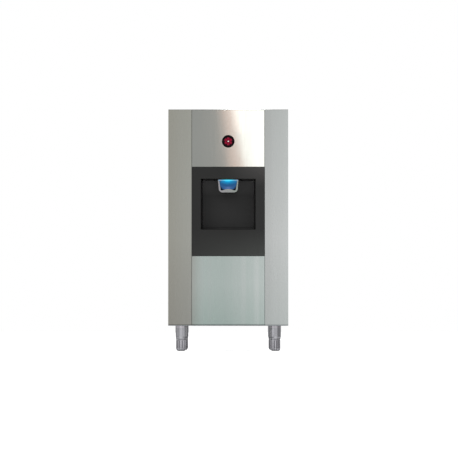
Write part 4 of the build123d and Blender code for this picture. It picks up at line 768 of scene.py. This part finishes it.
@dataclass(frozen=True)
class FloorPaper(Finish):
    """White background paper, rolled out: matt, and lit from behind as far as the camera sees."""

    colour: str = "fdfdfd"
    fibre_colour: str = "fafafa"
    fibre_mm: float = 3.0
    fibre_span: Span = (0.4, 0.7)
    fibre_cover: float = 0.3
    glow: float = 0.68
    roughness: float = 0.9

    def surface(self, tree: Tree) -> Socket:
        """Make the paper, which still shows the object's shadow.

        Args:
            tree: The material's node tree.

        Returns:
            The shader.
        """
        fibres = mottle(tree, (self.fibre_mm,) * 3, detail=2.0)
        cover = (0, self.fibre_cover)
        tone = layered(tree, self.colour, self.fibre_colour, fibres, self.fibre_span, cover)
        seen = add_node(tree, "LightPath")["Is Camera Ray"]
        glow = add_node(tree, "MapRange", (seen, *RISING, 0, self.glow))[0]
        inputs = {"Base Color": tone, "Roughness": self.roughness}
        lit = {"Emission Color": "ffffff", "Emission Strength": glow}
        return add_node(tree, "BsdfPrincipled", inputs | lit)[0]


def dress(finish: Finish, *names: str) -> None:
    """Give CAD nodes a finish.

    Args:
        finish: The finish.
        names: The nodes' names.
    """
    for name in names:
        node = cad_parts[name]
        if not node.material_slots:
            node.data.materials.append(None)
        for held in node.material_slots:
            held.material = finish.material()
        log.info("%s wears %s", name, finish.name)


def add_piece(
    name: str, mesh: Mesh, finish: Finish, body: str
) -> bpy.types.Object:
    """Turn a mesh into a piece that rides on a body.

    Args:
        name: The piece's name.
        mesh: Its shape, in metres, where it belongs.
        finish: Its finish.
        body: The body that it moves with.

    Returns:
        The new object.
    """
    bmesh.ops.recalc_face_normals(mesh, faces=mesh.faces)
    data = bpy.data.meshes.new(name)
    mesh.to_mesh(data)
    mesh.free()
    data.materials.append(finish.material())
    piece = bpy.data.objects.new(name, data)
    bpy.context.scene.collection.objects.link(piece)
    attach(piece, body)
    log.info("%s rides on %s", name, body)
    return piece


def shade_round(piece: bpy.types.Object, angle: float = 35.0) -> None:
    """Smooth a piece's faces, and keep edges sharper than an angle in degrees."""
    piece.data.shade_smooth()
    piece.data.set_sharp_from_angle(angle=math.radians(angle))


def lathe(
    mesh: Mesh, profile: Sequence[tuple[float, float]], centre: Vector, steps: int
) -> None:
    """Turn a profile about an axis that points to the front.

    Args:
        mesh: The mesh that gets the shape.
        profile: Radius and distance towards the front, from the rear to the front.
        centre: The point on the axis that distances start from.
        steps: How many faces go round.
    """
    rings = []
    for radius, ahead in profile:
        if radius == 0:
            rings.append([mesh.verts.new(centre + Vector((0, -ahead, 0)))])
            continue
        ring = []
        for step in range(steps):
            turn = 2 * math.pi * step / steps
            offset = Vector((radius * math.cos(turn), -ahead, radius * math.sin(turn)))
            ring.append(mesh.verts.new(centre + offset))
        rings.append(ring)
    for near, far in zip(rings, rings[1:]):
        for step in range(steps):
            after = (step + 1) % steps
            corners = [near[step % len(near)], near[after % len(near)]]
            corners += [far[after % len(far)], far[step % len(far)]]
            mesh.faces.new(list(dict.fromkeys(corners)))


def plate(
    mesh: Mesh, outline: Iterable[tuple[float, float]], rear_y: float, front_y: float
) -> None:
    """Add a flat plate that faces the front.

    Args:
        mesh: The mesh that gets the plate.
        outline: Its corners as X and Z, in order.
        rear_y: Where its back lies.
        front_y: Where its face lies.
    """
    points = list(outline)
    rear = [mesh.verts.new((x, rear_y, z)) for x, z in points]
    front = [mesh.verts.new((x, front_y, z)) for x, z in points]
    mesh.faces.new(rear)
    mesh.faces.new(list(reversed(front)))
    for i in range(len(points)):
        after = (i + 1) % len(points)
        mesh.faces.new((rear[i], front[i], front[after], rear[after]))


def close_sheet(mesh: Mesh, front: Rows, rear: Rows) -> None:
    """Close a curved sheet from the rows of points of its two faces.

    Args:
        mesh: The mesh that holds the points.
        front: The front face's points, row by row.
        rear: The points behind them, in the same order.
    """
    rims = []
    for rows in (front, rear):
        for lower, upper in zip(rows, rows[1:]):
            for i in range(len(lower) - 1):
                mesh.faces.new((lower[i], lower[i + 1], upper[i + 1], upper[i]))
        right, left = [row[-1] for row in rows[1:-1]], [row[0] for row in rows[1:-1]]
        rims.append([*rows[0], *right, *reversed(rows[-1]), *reversed(left)])
    near, far = rims
    for i in range(len(near)):
        mesh.faces.new((near[i - 1], near[i], far[i], far[i - 1]))


# The finishes, each named for what the real surface is
# The four brushed stainless finishes are one steel: their different colours, and the changes across each
# sheet, are painted reflection and painted shade.
LEFT_STEEL = BrushedSteel(
    "brushed_stainless_left", "95948c", "9c9d97", "98988f", low_shade_tint="e9e8e9", high_shade_tint="f9f9f8",
    side_colour="aaaca9", hem_share=0.0042,
)
RIGHT_STEEL = BrushedSteel(
    "brushed_stainless_right", "b4b6b5", "c3c6c5", "bec1c0", low_shade_tint="ecefee", high_shade_tint="f0f1f0",
    high_share=0.6, side_colour="aaaca9", hem_share=0.0042, hem_tint="d4d4d6",
)
UPPER_STEEL = BrushedSteel(
    "brushed_stainless_upper", "8e908c", "979893", "8f918d", low_shade_tint="fdfdfd", low_share=0.3,
    high_shade_tint="fdfdfd", roughness=0.175,
)
LOWER_STEEL = BrushedSteel(
    "brushed_stainless_lower", "a6afac", "bdc3c1", "a3b1ac", low_shade_tint="eaf0ee", low_share=0.6,
    high_shade_tint="ffffff", turn_share=0.45, hem_share=0.0125, hem_tint="d2d1d3", edge_share=0.14,
)
DECK_STEEL = BrushedSteel(
    "brushed_stainless_deck", "939593", "939593", "8d8f8d", grain=Grain.LENGTHWISE, roughness=0.42
)
INNER_STEEL = BrushedSteel("brushed_stainless_inner", "b0b2b1", roughness=0.26)
# Painted shade: the legs' and feet's steel is darker than stainless steel really is, and the leg lamps
# draw its bright bands.
LEG_STEEL = TurnedMetal(
    "satin_stainless_tube", "707073", "6e6e71", grain=Grain.UPRIGHT, roughness=0.2,
    rings=(Ring(0.075, 0.15, "909094"), Ring(0.68, 0.76, "7e7b7f")),
)
FOOT_STEEL = TurnedMetal(
    "die_cast_foot_metal", "7c7b7f", "79797c", roughness=0.22, flutes=12, flute_top=0.47,
    hollow_tint="b2b2b4", rings=(Ring(0.035, 0.11, "a8a8ac"), Ring(0.49, 0.52, "505054")),
)
ZINC_STEEL = TurnedMetal("zinc_plated_steel", "c2c4c6", "a9abaf", roughness=0.25)
GEAR_STEEL = TurnedMetal("machined_gear_steel", "9b9c9f", "86878b", roughness=0.28)
COIL_STEEL = TurnedMetal("laminated_coil_steel", "77797c", "5f6164", line_mm=0.5, roughness=0.45)
SPRING_STEEL = TurnedMetal("spring_steel_wire", "85868a", "707176", line_mm=0.3)
# Painted reflection: the bezel's tone changes from pinkish grey on the left to greenish grey on the
# right.
SILVER_BEZEL = TurnedMetal(
    "satin_silver_plating", "98949a", "939594", line_mm=1.5, grain=Grain.CROSSWISE, roughness=0.22,
    right_reflection_colour="8f9790",
)
GALVANISED = GalvanisedSheet("galvanised_steel_sheet")
ALUMINIUM = CastAluminium("pressure_cast_aluminium")
BLACK_PANEL = RecessedPlastic("black_formed_panel")
# Partly painted shade: the tray's black is darker than the other black plastics, so that it also stands
# for the shade along the floor of the recess.
TRAY_ABS = MouldedPlastic("black_tray_abs", "0b0b0b", "111111", gloss=0.1)
WHITE_POLYETHYLENE = MouldedPlastic(
    "white_rotomoulded_polyethylene", "e2e5e5", "d3d9db", texture_mm=1.5, roughness=0.42
)
WHITE_ACETAL = MouldedPlastic("white_acetal", "e6e6e2", "d8d8d2", texture_mm=0.5, roughness=0.35)
BLUE_NYLON = MouldedPlastic("blue_cast_nylon", "2c5f94", "244e7d", texture_mm=1.0, roughness=0.4)
GREY_PVC = MouldedPlastic("grey_pvc_pipe", "6d7074", "606367", texture_mm=0.8, roughness=0.4)
BLACK_NYLON = MouldedPlastic("black_nylon", "1a1a1b", "232324", texture_mm=0.5, roughness=0.42)
RED_SWITCH = MouldedPlastic("red_switch_plastic", "a8201a", "8f1712", texture_mm=0.3, roughness=0.4)
SEAL_RUBBER = MouldedPlastic("nitrile_seal_rubber", "121212", "1b1b1b", texture_mm=0.4, roughness=0.7)
MOTOR_PAINT = Enamel("black_motor_enamel", "1b1c1e")
CIRCUIT = CircuitLaminate("green_circuit_laminate")
LIGHT_GUIDE = LightGuide("clear_acrylic_light_guide")
FOAM = FoamBlock("rigid_polyurethane_foam")
BADGE_ENAMEL = Enamel("gloss_black_enamel", "080103", gloss=0.05)
RED_ENAMEL = Enamel("red_enamel", "a81038", roughness=0.22, gloss=0.12)
WHITE_ENAMEL = Enamel("white_enamel", "f3f1ee", roughness=0.25)


@dataclass
class Cabinet:
    """The sheet-metal body: panels, deck, base, frames and the screws of the back panel."""

    screw_columns: int = 5
    head_radius: float = 4.0 * MM
    head_height: float = 2.2 * MM
    dome_share: float = 0.45
    dome_ring_shares: tuple[float, ...] = (0.97, 0.86, 0.65, 0.36)
    slot_half_length: float = 2.2 * MM
    slot_half_width: float = 0.55 * MM
    slot_depth: float = 1.3 * MM
    head_steps: int = 32

    def build(self) -> None:
        """Make the cross-recessed screw heads on the back panel."""
        low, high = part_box("panel_screws")
        xs = [low.x + self.head_radius, high.x - self.head_radius]
        zs = [low.z + self.head_radius, high.z - self.head_radius]
        rim = self.head_height * (1 - self.dome_share)
        heads, slots = bmesh.new(), bmesh.new()
        for column in range(self.screw_columns):
            x = xs[0] + (xs[1] - xs[0]) * column / (self.screw_columns - 1)
            for z in zs:
                seat = Vector((x, high.y - self.head_height, z))
                profile = [(0, 0), (self.head_radius, 0), (self.head_radius, -rim)]
                for share in self.dome_ring_shares:
                    rise = math.sqrt(1 - share ** 2) * self.head_height * self.dome_share
                    profile.append((self.head_radius * share, -rim - rise))
                profile.append((0, -self.head_height))
                lathe(heads, profile, seat, self.head_steps)
                self.cross(slots, x, z, high.y)
        bmesh.ops.recalc_face_normals(slots, faces=slots.faces)
        cutter_mesh = bpy.data.meshes.new("recess_cutter")
        slots.to_mesh(cutter_mesh)
        slots.free()
        cutter = bpy.data.objects.new("recess_cutter", cutter_mesh)
        bpy.context.scene.collection.objects.link(cutter)
        piece = add_piece("back_panel_screws", heads, ZINC_STEEL, "cabinet")
        cut = piece.modifiers.new("recess", "BOOLEAN")
        cut.object = cutter
        cut.operation = "DIFFERENCE"
        graph = bpy.context.evaluated_depsgraph_get()
        carved = bpy.data.meshes.new_from_object(piece.evaluated_get(graph))
        piece.modifiers.clear()
        piece.data = carved
        bpy.data.objects.remove(cutter)
        shade_round(piece)
        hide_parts("panel_screws")

    def cross(self, mesh: Mesh, x: float, z: float, rear_y: float) -> None:
        """Add a cross-shaped cutter for one screw head.

        Args:
            mesh: The mesh of all the cutters.
            x: The screw's place across the panel.
            z: The screw's height.
            rear_y: Where the head ends.
        """
        arm, half = self.slot_half_length, self.slot_half_width
        corners = [(half, half), (half, arm), (-half, arm), (-half, half), (-arm, half), (-arm, -half)]
        corners += [(-half, -half), (-half, -arm), (half, -arm), (half, -half), (arm, -half), (arm, half)]
        outline = [(x + dx, z + dz) for dx, dz in corners]
        plate(mesh, outline, rear_y + self.slot_depth, rear_y - self.slot_depth)

    def dress(self) -> None:
        """Give the panels and frames their finishes."""
        dress(LEFT_STEEL, "side_panel_left")
        dress(RIGHT_STEEL, "side_panel_right")
        dress(UPPER_STEEL, "upper_front_panel")
        dress(LOWER_STEEL, "lower_front_panel")
        dress(DECK_STEEL, "top_deck")
        dress(GALVANISED, "back_panel", "base_pan", "front_frame", "support_frame")


@dataclass
class Legs:
    """The four tubular legs with their fluted feet."""

    names: tuple[str, ...] = ("front_left", "front_right", "rear_left", "rear_right")

    def dress(self) -> None:
        """Give the legs, feet and nuts their finishes."""
        dress(LEG_STEEL, "leg_tubes")
        dress(ZINC_STEEL, "leg_nuts")
        dress(FOOT_STEEL, *("foot_" + name for name in self.names))


@dataclass
class Badge:
    """The round badge: a black disc with a raised rim and a plain red snow crystal."""

    rim_width: float = 2.4 * MM
    rim_edge_share: float = 0.25
    recess: float = 0.7 * MM
    dish_radius_share: float = 0.6
    dish_depth_share: float = 0.8
    middle_depth_share: float = 0.7
    mark_height: float = 0.35 * MM
    arm_length: float = 18.5 * MM
    arm_width: float = 3.6 * MM
    tip_share: float = 0.5
    barb_length: float = 7.5 * MM
    barb_places: tuple[float, ...] = (0.46, 0.74)
    barb_angle: float = 55.0
    barb_taper: tuple[float, float] = (1.25, 0.45)
    barb_width_share: float = 0.8
    hub_radius: float = 4.2 * MM
    dot_radius: float = 2.7 * MM
    dot_rise_share: float = 1.5
    steps: int = 96
    arms: int = 6

    def build(self) -> None:
        """Make the disc, the crystal and its white middle."""
        low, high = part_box("badge")
        radius = (high.x - low.x) / 2
        centre = Vector(((low.x + high.x) / 2, low.y, (low.z + high.z) / 2))
        inner = radius - self.rim_width
        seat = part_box("upper_front_panel")[0].y
        back = low.y - seat
        edge = self.rim_width * self.rim_edge_share
        disc = bmesh.new()
        profile = [(0, back), (radius, back), (radius, -edge), (radius - edge, 0)]
        profile += [(inner + edge, 0), (inner, -self.recess)]
        profile.append((inner * self.dish_radius_share, -self.recess * self.dish_depth_share))
        profile.append((0, -self.recess * self.middle_depth_share))
        lathe(disc, profile, centre, self.steps)
        piece = add_piece("badge_disc", disc, BADGE_ENAMEL, "cabinet")
        shade_round(piece)
        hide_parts("badge")
        face_y = low.y + self.recess
        crystal = bmesh.new()
        for arm in range(self.arms):
            turn = 2 * math.pi * arm / self.arms + math.pi / 2
            self.bar(crystal, centre, turn, self.arm_length, self.arm_width, face_y)
            for place in self.barb_places:
                for side in (-1, 1):
                    self.barb(crystal, centre, turn, place, side, face_y)
        dot = bmesh.new()
        middle = Vector((centre.x, face_y, centre.z))
        marks = (
            (crystal, self.hub_radius, self.mark_height),
            (dot, self.dot_radius, self.mark_height * self.dot_rise_share),
        )
        for mesh, radius, rise in marks:
            lathe(mesh, [(0, 0), (radius, 0), (radius, rise), (0, rise)], middle, self.steps)
        add_piece("badge_crystal", crystal, RED_ENAMEL, "cabinet")
        add_piece("badge_dot", dot, WHITE_ENAMEL, "cabinet")

    def bar(
        self, mesh: Mesh, centre: Vector, turn: float, length: float, width: float, face_y: float
    ) -> None:
        """Add one tapered bar of the crystal.

        Args:
            mesh: The crystal's mesh.
            centre: The point that the bar starts from.
            turn: Which way it points, in radians.
            length: How long it is.
            width: Its width at the start.
            face_y: The face that it lies on.
        """
        way = Vector((math.cos(turn), math.sin(turn)))
        across = Vector((-way.y, way.x))
        near = Vector((centre.x, centre.z))
        far = near + way * length
        side, tip = across * width / 2, across * width / 2 * self.tip_share
        corners = [near - side, far - tip, far + tip, near + side]
        plate(mesh, [(c.x, c.y) for c in corners], face_y, face_y - self.mark_height)

    def barb(
        self, mesh: Mesh, centre: Vector, turn: float, place: float, side: int, face_y: float
    ) -> None:
        """Add one side branch of an arm.

        Args:
            mesh: The crystal's mesh.
            centre: The badge's middle.
            turn: Which way the arm points, in radians.
            place: How far along the arm, as a share.
            side: Minus one or one.
            face_y: The face that it lies on.
        """
        out = self.arm_length * place
        root = centre + Vector((math.cos(turn), 0, math.sin(turn))) * out
        way = turn + side * math.radians(self.barb_angle)
        length = self.barb_length * (self.barb_taper[0] - self.barb_taper[1] * place)
        self.bar(mesh, root, way, length, self.arm_width * self.barb_width_share, face_y)


@dataclass
class Dispenser:
    """The black panel with its recess, the tray, and the spout with its blue button."""

    lens_gap: float = 0.2 * MM
    lens_rise: float = 1.6 * MM
    lens_inset: float = 0.8 * MM
    lens_corner: float = 11.0 * MM
    lens_rim: float = 2.0 * MM
    lens_angle: float = 60.0
    side_lean: float = 0.16
    dish_depth: float = 1.1 * MM
    dish_reach: float = 11.0 * MM
    barrel_radius: float = 3.0 * MM
    guide_half: float = 47.2 * MM
    guide_low: float = 6.0 * MM
    guide_high: float = 0.1 * MM
    guide_front: float = 0.6 * MM
    guide_depth: float = 1.2 * MM
    guide_corner: float = 3.5 * MM
    guide_steps: int = 10
    guide_edge_share: float = 0.35
    rows: int = 36
    columns: int = 48
    button_blue: BackLitPlastic = field(init=False)

    def __post_init__(self) -> None:
        """Work out where the lamps' light enters the button."""
        low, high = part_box("dispense_button")
        self.button_blue = BackLitPlastic(
            "back_lit_blue_polycarbonate",
            lamp_z=high.z,
            half_width=(high.x - low.x) / 2,
            height=high.z - low.z,
        )

    def half_width_at(self, z: float, low_z: float) -> float:
        """Half the lens's width at a height, from the button's tapered sides.

        Args:
            z: The height.
            low_z: Where the lens starts.

        Returns:
            Half the width, drawn in near the rounded lower corners.
        """
        low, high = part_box("dispense_button")
        top_half = (high.x - low.x) / 2 - self.lens_inset
        half = top_half - (high.z - self.barrel_radius - z) * self.side_lean
        below = low_z + self.lens_corner - z
        if below > 0:
            half += math.sqrt(max(0.0, self.lens_corner ** 2 - below ** 2)) - self.lens_corner
        return half

    def build(self) -> None:
        """Make the dished lens on the button's face."""
        low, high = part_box("dispense_button")
        face_y = high.y
        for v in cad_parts["dispense_button"].data.vertices:
            if v.co.z < low.z + self.lens_corner:
                face_y = min(face_y, v.co.y)
        back_y = face_y - self.lens_gap
        low_z = low.z + self.lens_inset
        high_z = high.z - 2 * self.barrel_radius - self.lens_inset
        mesh = bmesh.new()
        front, rear = [], []
        for row in range(self.rows + 1):
            share = 1 - math.cos(math.pi / 2 * row / self.rows)
            z = low_z + (high_z - low_z) * share
            half = self.half_width_at(z, low_z)
            front.append([])
            rear.append([])
            for column in range(self.columns + 1):
                x = half * math.sin(math.pi / 2 * (2 * column / self.columns - 1))
                inward = min(half - abs(x), z - low_z, self.dish_reach)
                rim = min(1.0, inward / self.lens_rim)
                rise = self.lens_rise * math.sqrt(max(0.0, 1 - (1 - rim) ** 2))
                dish = self.dish_depth * 0.5 * (1 - math.cos(math.pi * inward / self.dish_reach))
                front[row].append(mesh.verts.new((x, back_y - rise + dish, z)))
                rear[row].append(mesh.verts.new((x, back_y + self.lens_gap / 2, z)))
        close_sheet(mesh, front, rear)
        piece = add_piece("button_lens", mesh, self.button_blue, "dispense_button")
        shade_round(piece, self.lens_angle)
        self.light_guide()

    def light_guide(self) -> None:
        """Make the lit bar across the spout's top, with rounded upper corners."""
        low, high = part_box("spout_bezel")
        bottom, top = high.z - self.guide_low, high.z - self.guide_high
        radius = self.guide_corner
        outline = [(-self.guide_half, bottom), (self.guide_half, bottom)]
        for side in (1, -1):
            steps = range(self.guide_steps + 1)
            for step in steps if side == 1 else reversed(steps):
                turn = math.pi / 2 * step / self.guide_steps
                x = self.guide_half - radius + radius * math.cos(turn)
                outline.append((side * x, top - radius + radius * math.sin(turn)))
        mesh = bmesh.new()
        front = low.y - self.guide_front
        plate(mesh, outline, front + self.guide_depth, front)
        bar = add_piece("light_guide", mesh, LIGHT_GUIDE, "cabinet")
        soften = bar.modifiers.new("rounded_edge", "BEVEL")
        soften.width = self.guide_depth * self.guide_edge_share
        soften.segments = 3
        soften.limit_method = "ANGLE"

    def dress(self) -> None:
        """Give the recess, the tray and the spout their finishes."""
        dress(BLACK_PANEL, "dispense_panel")
        dress(TRAY_ABS, "drip_tray", "drip_grille", "spout_body")
        dress(SILVER_BEZEL, "spout_bezel")
        dress(self.button_blue, "dispense_button")
        dress(ZINC_STEEL, "button_pin")
        dress(SPRING_STEEL, "button_spring")
        dress(BLACK_NYLON, "micro_switch")
        dress(RED_SWITCH, "switch_plunger")
        dress(CIRCUIT, "led_board")


@dataclass
class IceWay:
    """The chute, the gate and the insulated bin that the ice goes through."""

    def dress(self) -> None:
        """Give the chute, the gate and the bin their finishes."""
        dress(WHITE_POLYETHYLENE, "ice_chute", "bin_liner")
        dress(FOAM, "bin_insulation")
        dress(INNER_STEEL, "bin_baffle", "ice_gate", "gate_pin", "solenoid_plunger")
        dress(MOTOR_PAINT, "gate_solenoid")
        dress(GALVANISED, "solenoid_bracket")


@dataclass
class Drive:
    """The agitator, the paddle wheel, the gear train and the motor."""

    def dress(self) -> None:
        """Give the moving parts and their housings their finishes."""
        dress(INNER_STEEL, "agitator_shaft", "stir_bars")
        dress(BLUE_NYLON, "paddle_wheel")
        dress(ZINC_STEEL, "drive_keys")
        dress(WHITE_ACETAL, "shaft_bushes")
        dress(SEAL_RUBBER, "shaft_seal")
        dress(GALVANISED, "drive_plate")
        dress(ALUMINIUM, "gearbox_base", "gearbox_cover")
        dress(GEAR_STEEL, "output_gear", "second_gear_shaft", "first_gear_shaft", "motor_rotor")
        dress(COIL_STEEL, "motor_stator")
        dress(MOTOR_PAINT, "motor_shell")


@dataclass
class Services:
    """The control box, the cable gland and the drain pipes."""

    def dress(self) -> None:
        """Give the electrics and the pipes their finishes."""
        dress(GALVANISED, "control_box", "control_box_cover")
        dress(CIRCUIT, "control_board")
        dress(COIL_STEEL, "transformer")
        dress(BLACK_NYLON, "cable_gland")
        dress(GREY_PVC, "drain_main", "drain_risers")


@dataclass(frozen=True)
class SoftLamp:
    """A soft lamp: where it hangs, what it points at, how large and how bright its face is."""

    name: str
    place: tuple[float, float, float]
    target: tuple[float, float, float]
    size: tuple[float, float]
    level: float
    colour: str = "ffffff"
    roll: float = 0.0
    lights: tuple[str, ...] = ()


@dataclass
class Studio:
    """A white floor, soft light and a camera that stands low in front."""

    floor_half: float = 60.0
    floor_drop: float = 0.1 * MM
    sensor: float = 36.0
    frame_width: float = 2137.3 * MM
    camera_distance: float = 13.2
    camera_x: float = 3.6 * MM
    camera_z: float = 105.0 * MM
    aim_z: float = 569.0 * MM
    far_clip: float = 200.0
    fill_level: float = 1.0
    glare_distance: float = 0.5
    glare_rise: float = 34.0 * MM
    glare_height: float = 1.0
    edge_x: float = 75.0 * MM
    edge_distance: float = 120.0 * MM
    edge_drop: float = 54.0 * MM
    leg_x: float = 220.0 * MM
    leg_lamp_z: float = 100.0 * MM
    leg_lamp_height: float = 300.0 * MM
    inner_lamp_x: float = 50.0 * MM

    def world(self) -> None:
        """Light the scene evenly, and show plain white to the camera and to polished things."""
        world = bpy.data.worlds.new("studio_world")
        world.use_nodes = True
        tree = world.node_tree
        tree.nodes.clear()
        path = add_node(tree, "LightPath")
        seen = (path["Is Camera Ray"], path["Is Glossy Ray"])
        mirrored = add_node(tree, "Math", seen, operation="MAXIMUM")[0]
        shown = add_node(tree, "Math", (mirrored, path["Is Transmission Ray"]), operation="MAXIMUM")[0]
        level = add_node(tree, "MapRange", (shown, *RISING, self.fill_level, 1.0))[0]
        sky = add_node(tree, "Background", {"Color": "ffffff", "Strength": level})[0]
        add_node(tree, "OutputWorld", {"Surface": sky})
        bpy.context.scene.world = world

    def floor(self) -> None:
        """Lay the floor."""
        mesh = bmesh.new()
        half = self.floor_half
        corners = [(-half, -half), (half, -half), (half, half), (-half, half)]
        mesh.faces.new([mesh.verts.new((x, y, -self.floor_drop)) for x, y in corners])
        data = bpy.data.meshes.new("studio_floor")
        mesh.to_mesh(data)
        mesh.free()
        data.materials.append(FloorPaper("white_floor_paper").material())
        floor = bpy.data.objects.new("studio_floor", data)
        bpy.context.scene.collection.objects.link(floor)

    def lamp(self, light: SoftLamp) -> None:
        """Hang one soft lamp.

        Args:
            light: The lamp's sizes, place and what it lights.
        """
        data = bpy.data.lights.new(light.name, "AREA")
        data.shape = "RECTANGLE"
        data.size, data.size_y = light.size
        data.energy = light.level * math.pi * light.size[0] * light.size[1]
        data.color = linear(light.colour)[:3]
        held = bpy.data.objects.new(light.name, data)
        way = Vector(light.target) - Vector(light.place)
        turn = way.to_track_quat("-Z", "Y").to_matrix().to_4x4()
        roll = Matrix.Rotation(math.radians(light.roll), 4, "Z")
        held.matrix_world = Matrix.Translation(light.place) @ turn @ roll
        held.visible_camera = False
        if light.lights:
            only = bpy.data.collections.new(light.name + "_receivers")
            for name in light.lights:
                only.objects.link(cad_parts[name])
            held.light_linking.receiver_collection = only
        bpy.context.scene.collection.objects.link(held)

    def front_lamps(self) -> list[SoftLamp]:
        """Plan the softbox and the window's glare on the upper panel and the deck's front edge.

        Returns:
            The lamps. The edge's own lamp hangs below the deck, so that its top isn't lit.
        """
        low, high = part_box("upper_front_panel")
        near, middle = low.y - self.glare_distance, (low.z + high.z) / 2
        place, target = (-1.4, -2.2, 2.6), (0, 0, 0.5)
        lamps = [SoftLamp("softbox", place, target, size=(1.6, 1.6), level=3.0)]
        for name, colour, x, width, level, roll in (
            ("glare_white", "ffffff", 0.181, 0.257, 2.7, 11.9),
            ("glare_warm", "ffc8b2", 0.036, 0.102, 1.15, 7.5),
        ):
            place, target = (x, near, middle + self.glare_rise), (x, low.y, middle)
            size, lit = (width, self.glare_height), ("upper_front_panel",)
            lamps.append(SoftLamp(name, place, target, size, level, colour, roll, lit))
        edge_z = high.z - self.edge_drop
        place, target = (self.edge_x, low.y - self.edge_distance, edge_z), (self.edge_x, low.y, edge_z)
        size, lit = (0.15, 0.1), ("top_deck",)
        lamps.append(SoftLamp("glare_edge", place, target, size, level=34.0, lights=lit))
        return lamps

    def leg_lamps(self) -> list[SoftLamp]:
        """Plan the strips that draw bright and dark bands on the legs.

        Returns:
            The lamps, which light nothing but the legs and feet.
        """
        legs = ("leg_tubes", *("foot_" + name for name in Legs().names))
        low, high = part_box("foot_front_left")
        leg_y, z = low.lerp(high, 0.5).y, self.leg_lamp_z
        lamps = []
        for name, x, ahead, width, level in (
            ("legs_broad", 0.0, 0.15, 0.66, 1.2),
            ("legs_narrow", -self.leg_x, 0.47, 0.15, 0.9),
            ("legs_left", -1.1, 0.3, 1.2, 0.8),
        ):
            target = (max(x, -self.leg_x), leg_y, z)
            size = (width, self.leg_lamp_height)
            lamps.append(SoftLamp(name, (x, leg_y - ahead, z), target, size, level, lights=legs))
        inner, flank = (self.inner_lamp_x, leg_y, z), (-self.leg_x, leg_y, z)
        lamps.append(SoftLamp("legs_inner", inner, flank, size=(0.2, 0.2), level=0.5, lights=legs))
        return lamps

    def camera(self) -> None:
        """Set the camera near the floor, tilted up, so that one picture width is the photo's."""
        data = bpy.data.cameras.new("camera")
        front_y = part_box("lower_front_panel")[0].y
        place = Vector((self.camera_x, front_y - self.camera_distance, self.camera_z))
        way = Vector((self.camera_x, front_y, self.aim_z)) - place
        data.lens = self.sensor * way.length / self.frame_width
        data.sensor_width = self.sensor
        data.clip_end = self.far_clip
        held = bpy.data.objects.new("camera", data)
        held.location = place
        held.rotation_euler = way.to_track_quat("-Z", "Y").to_euler()
        bpy.context.scene.collection.objects.link(held)
        bpy.context.scene.camera = held

    def build(self) -> None:
        """Set up the whole studio."""
        self.world()
        self.floor()
        for light in self.front_lamps() + self.leg_lamps():
            self.lamp(light)
        self.camera()
        bpy.context.scene.view_settings.view_transform = "Standard"


def main() -> None:
    """Build and dress every sub-assembly, then set up the studio."""
    logging.basicConfig(level=logging.INFO, format="%(message)s")
    Studio().build()
    cabinet, badge, dispenser = Cabinet(), Badge(), Dispenser()
    for part in (cabinet, badge, dispenser):
        part.build()
    for part in (cabinet, Legs(), dispenser, IceWay(), Drive(), Services()):
        part.dress()


if __name__ == "__main__":
    main()
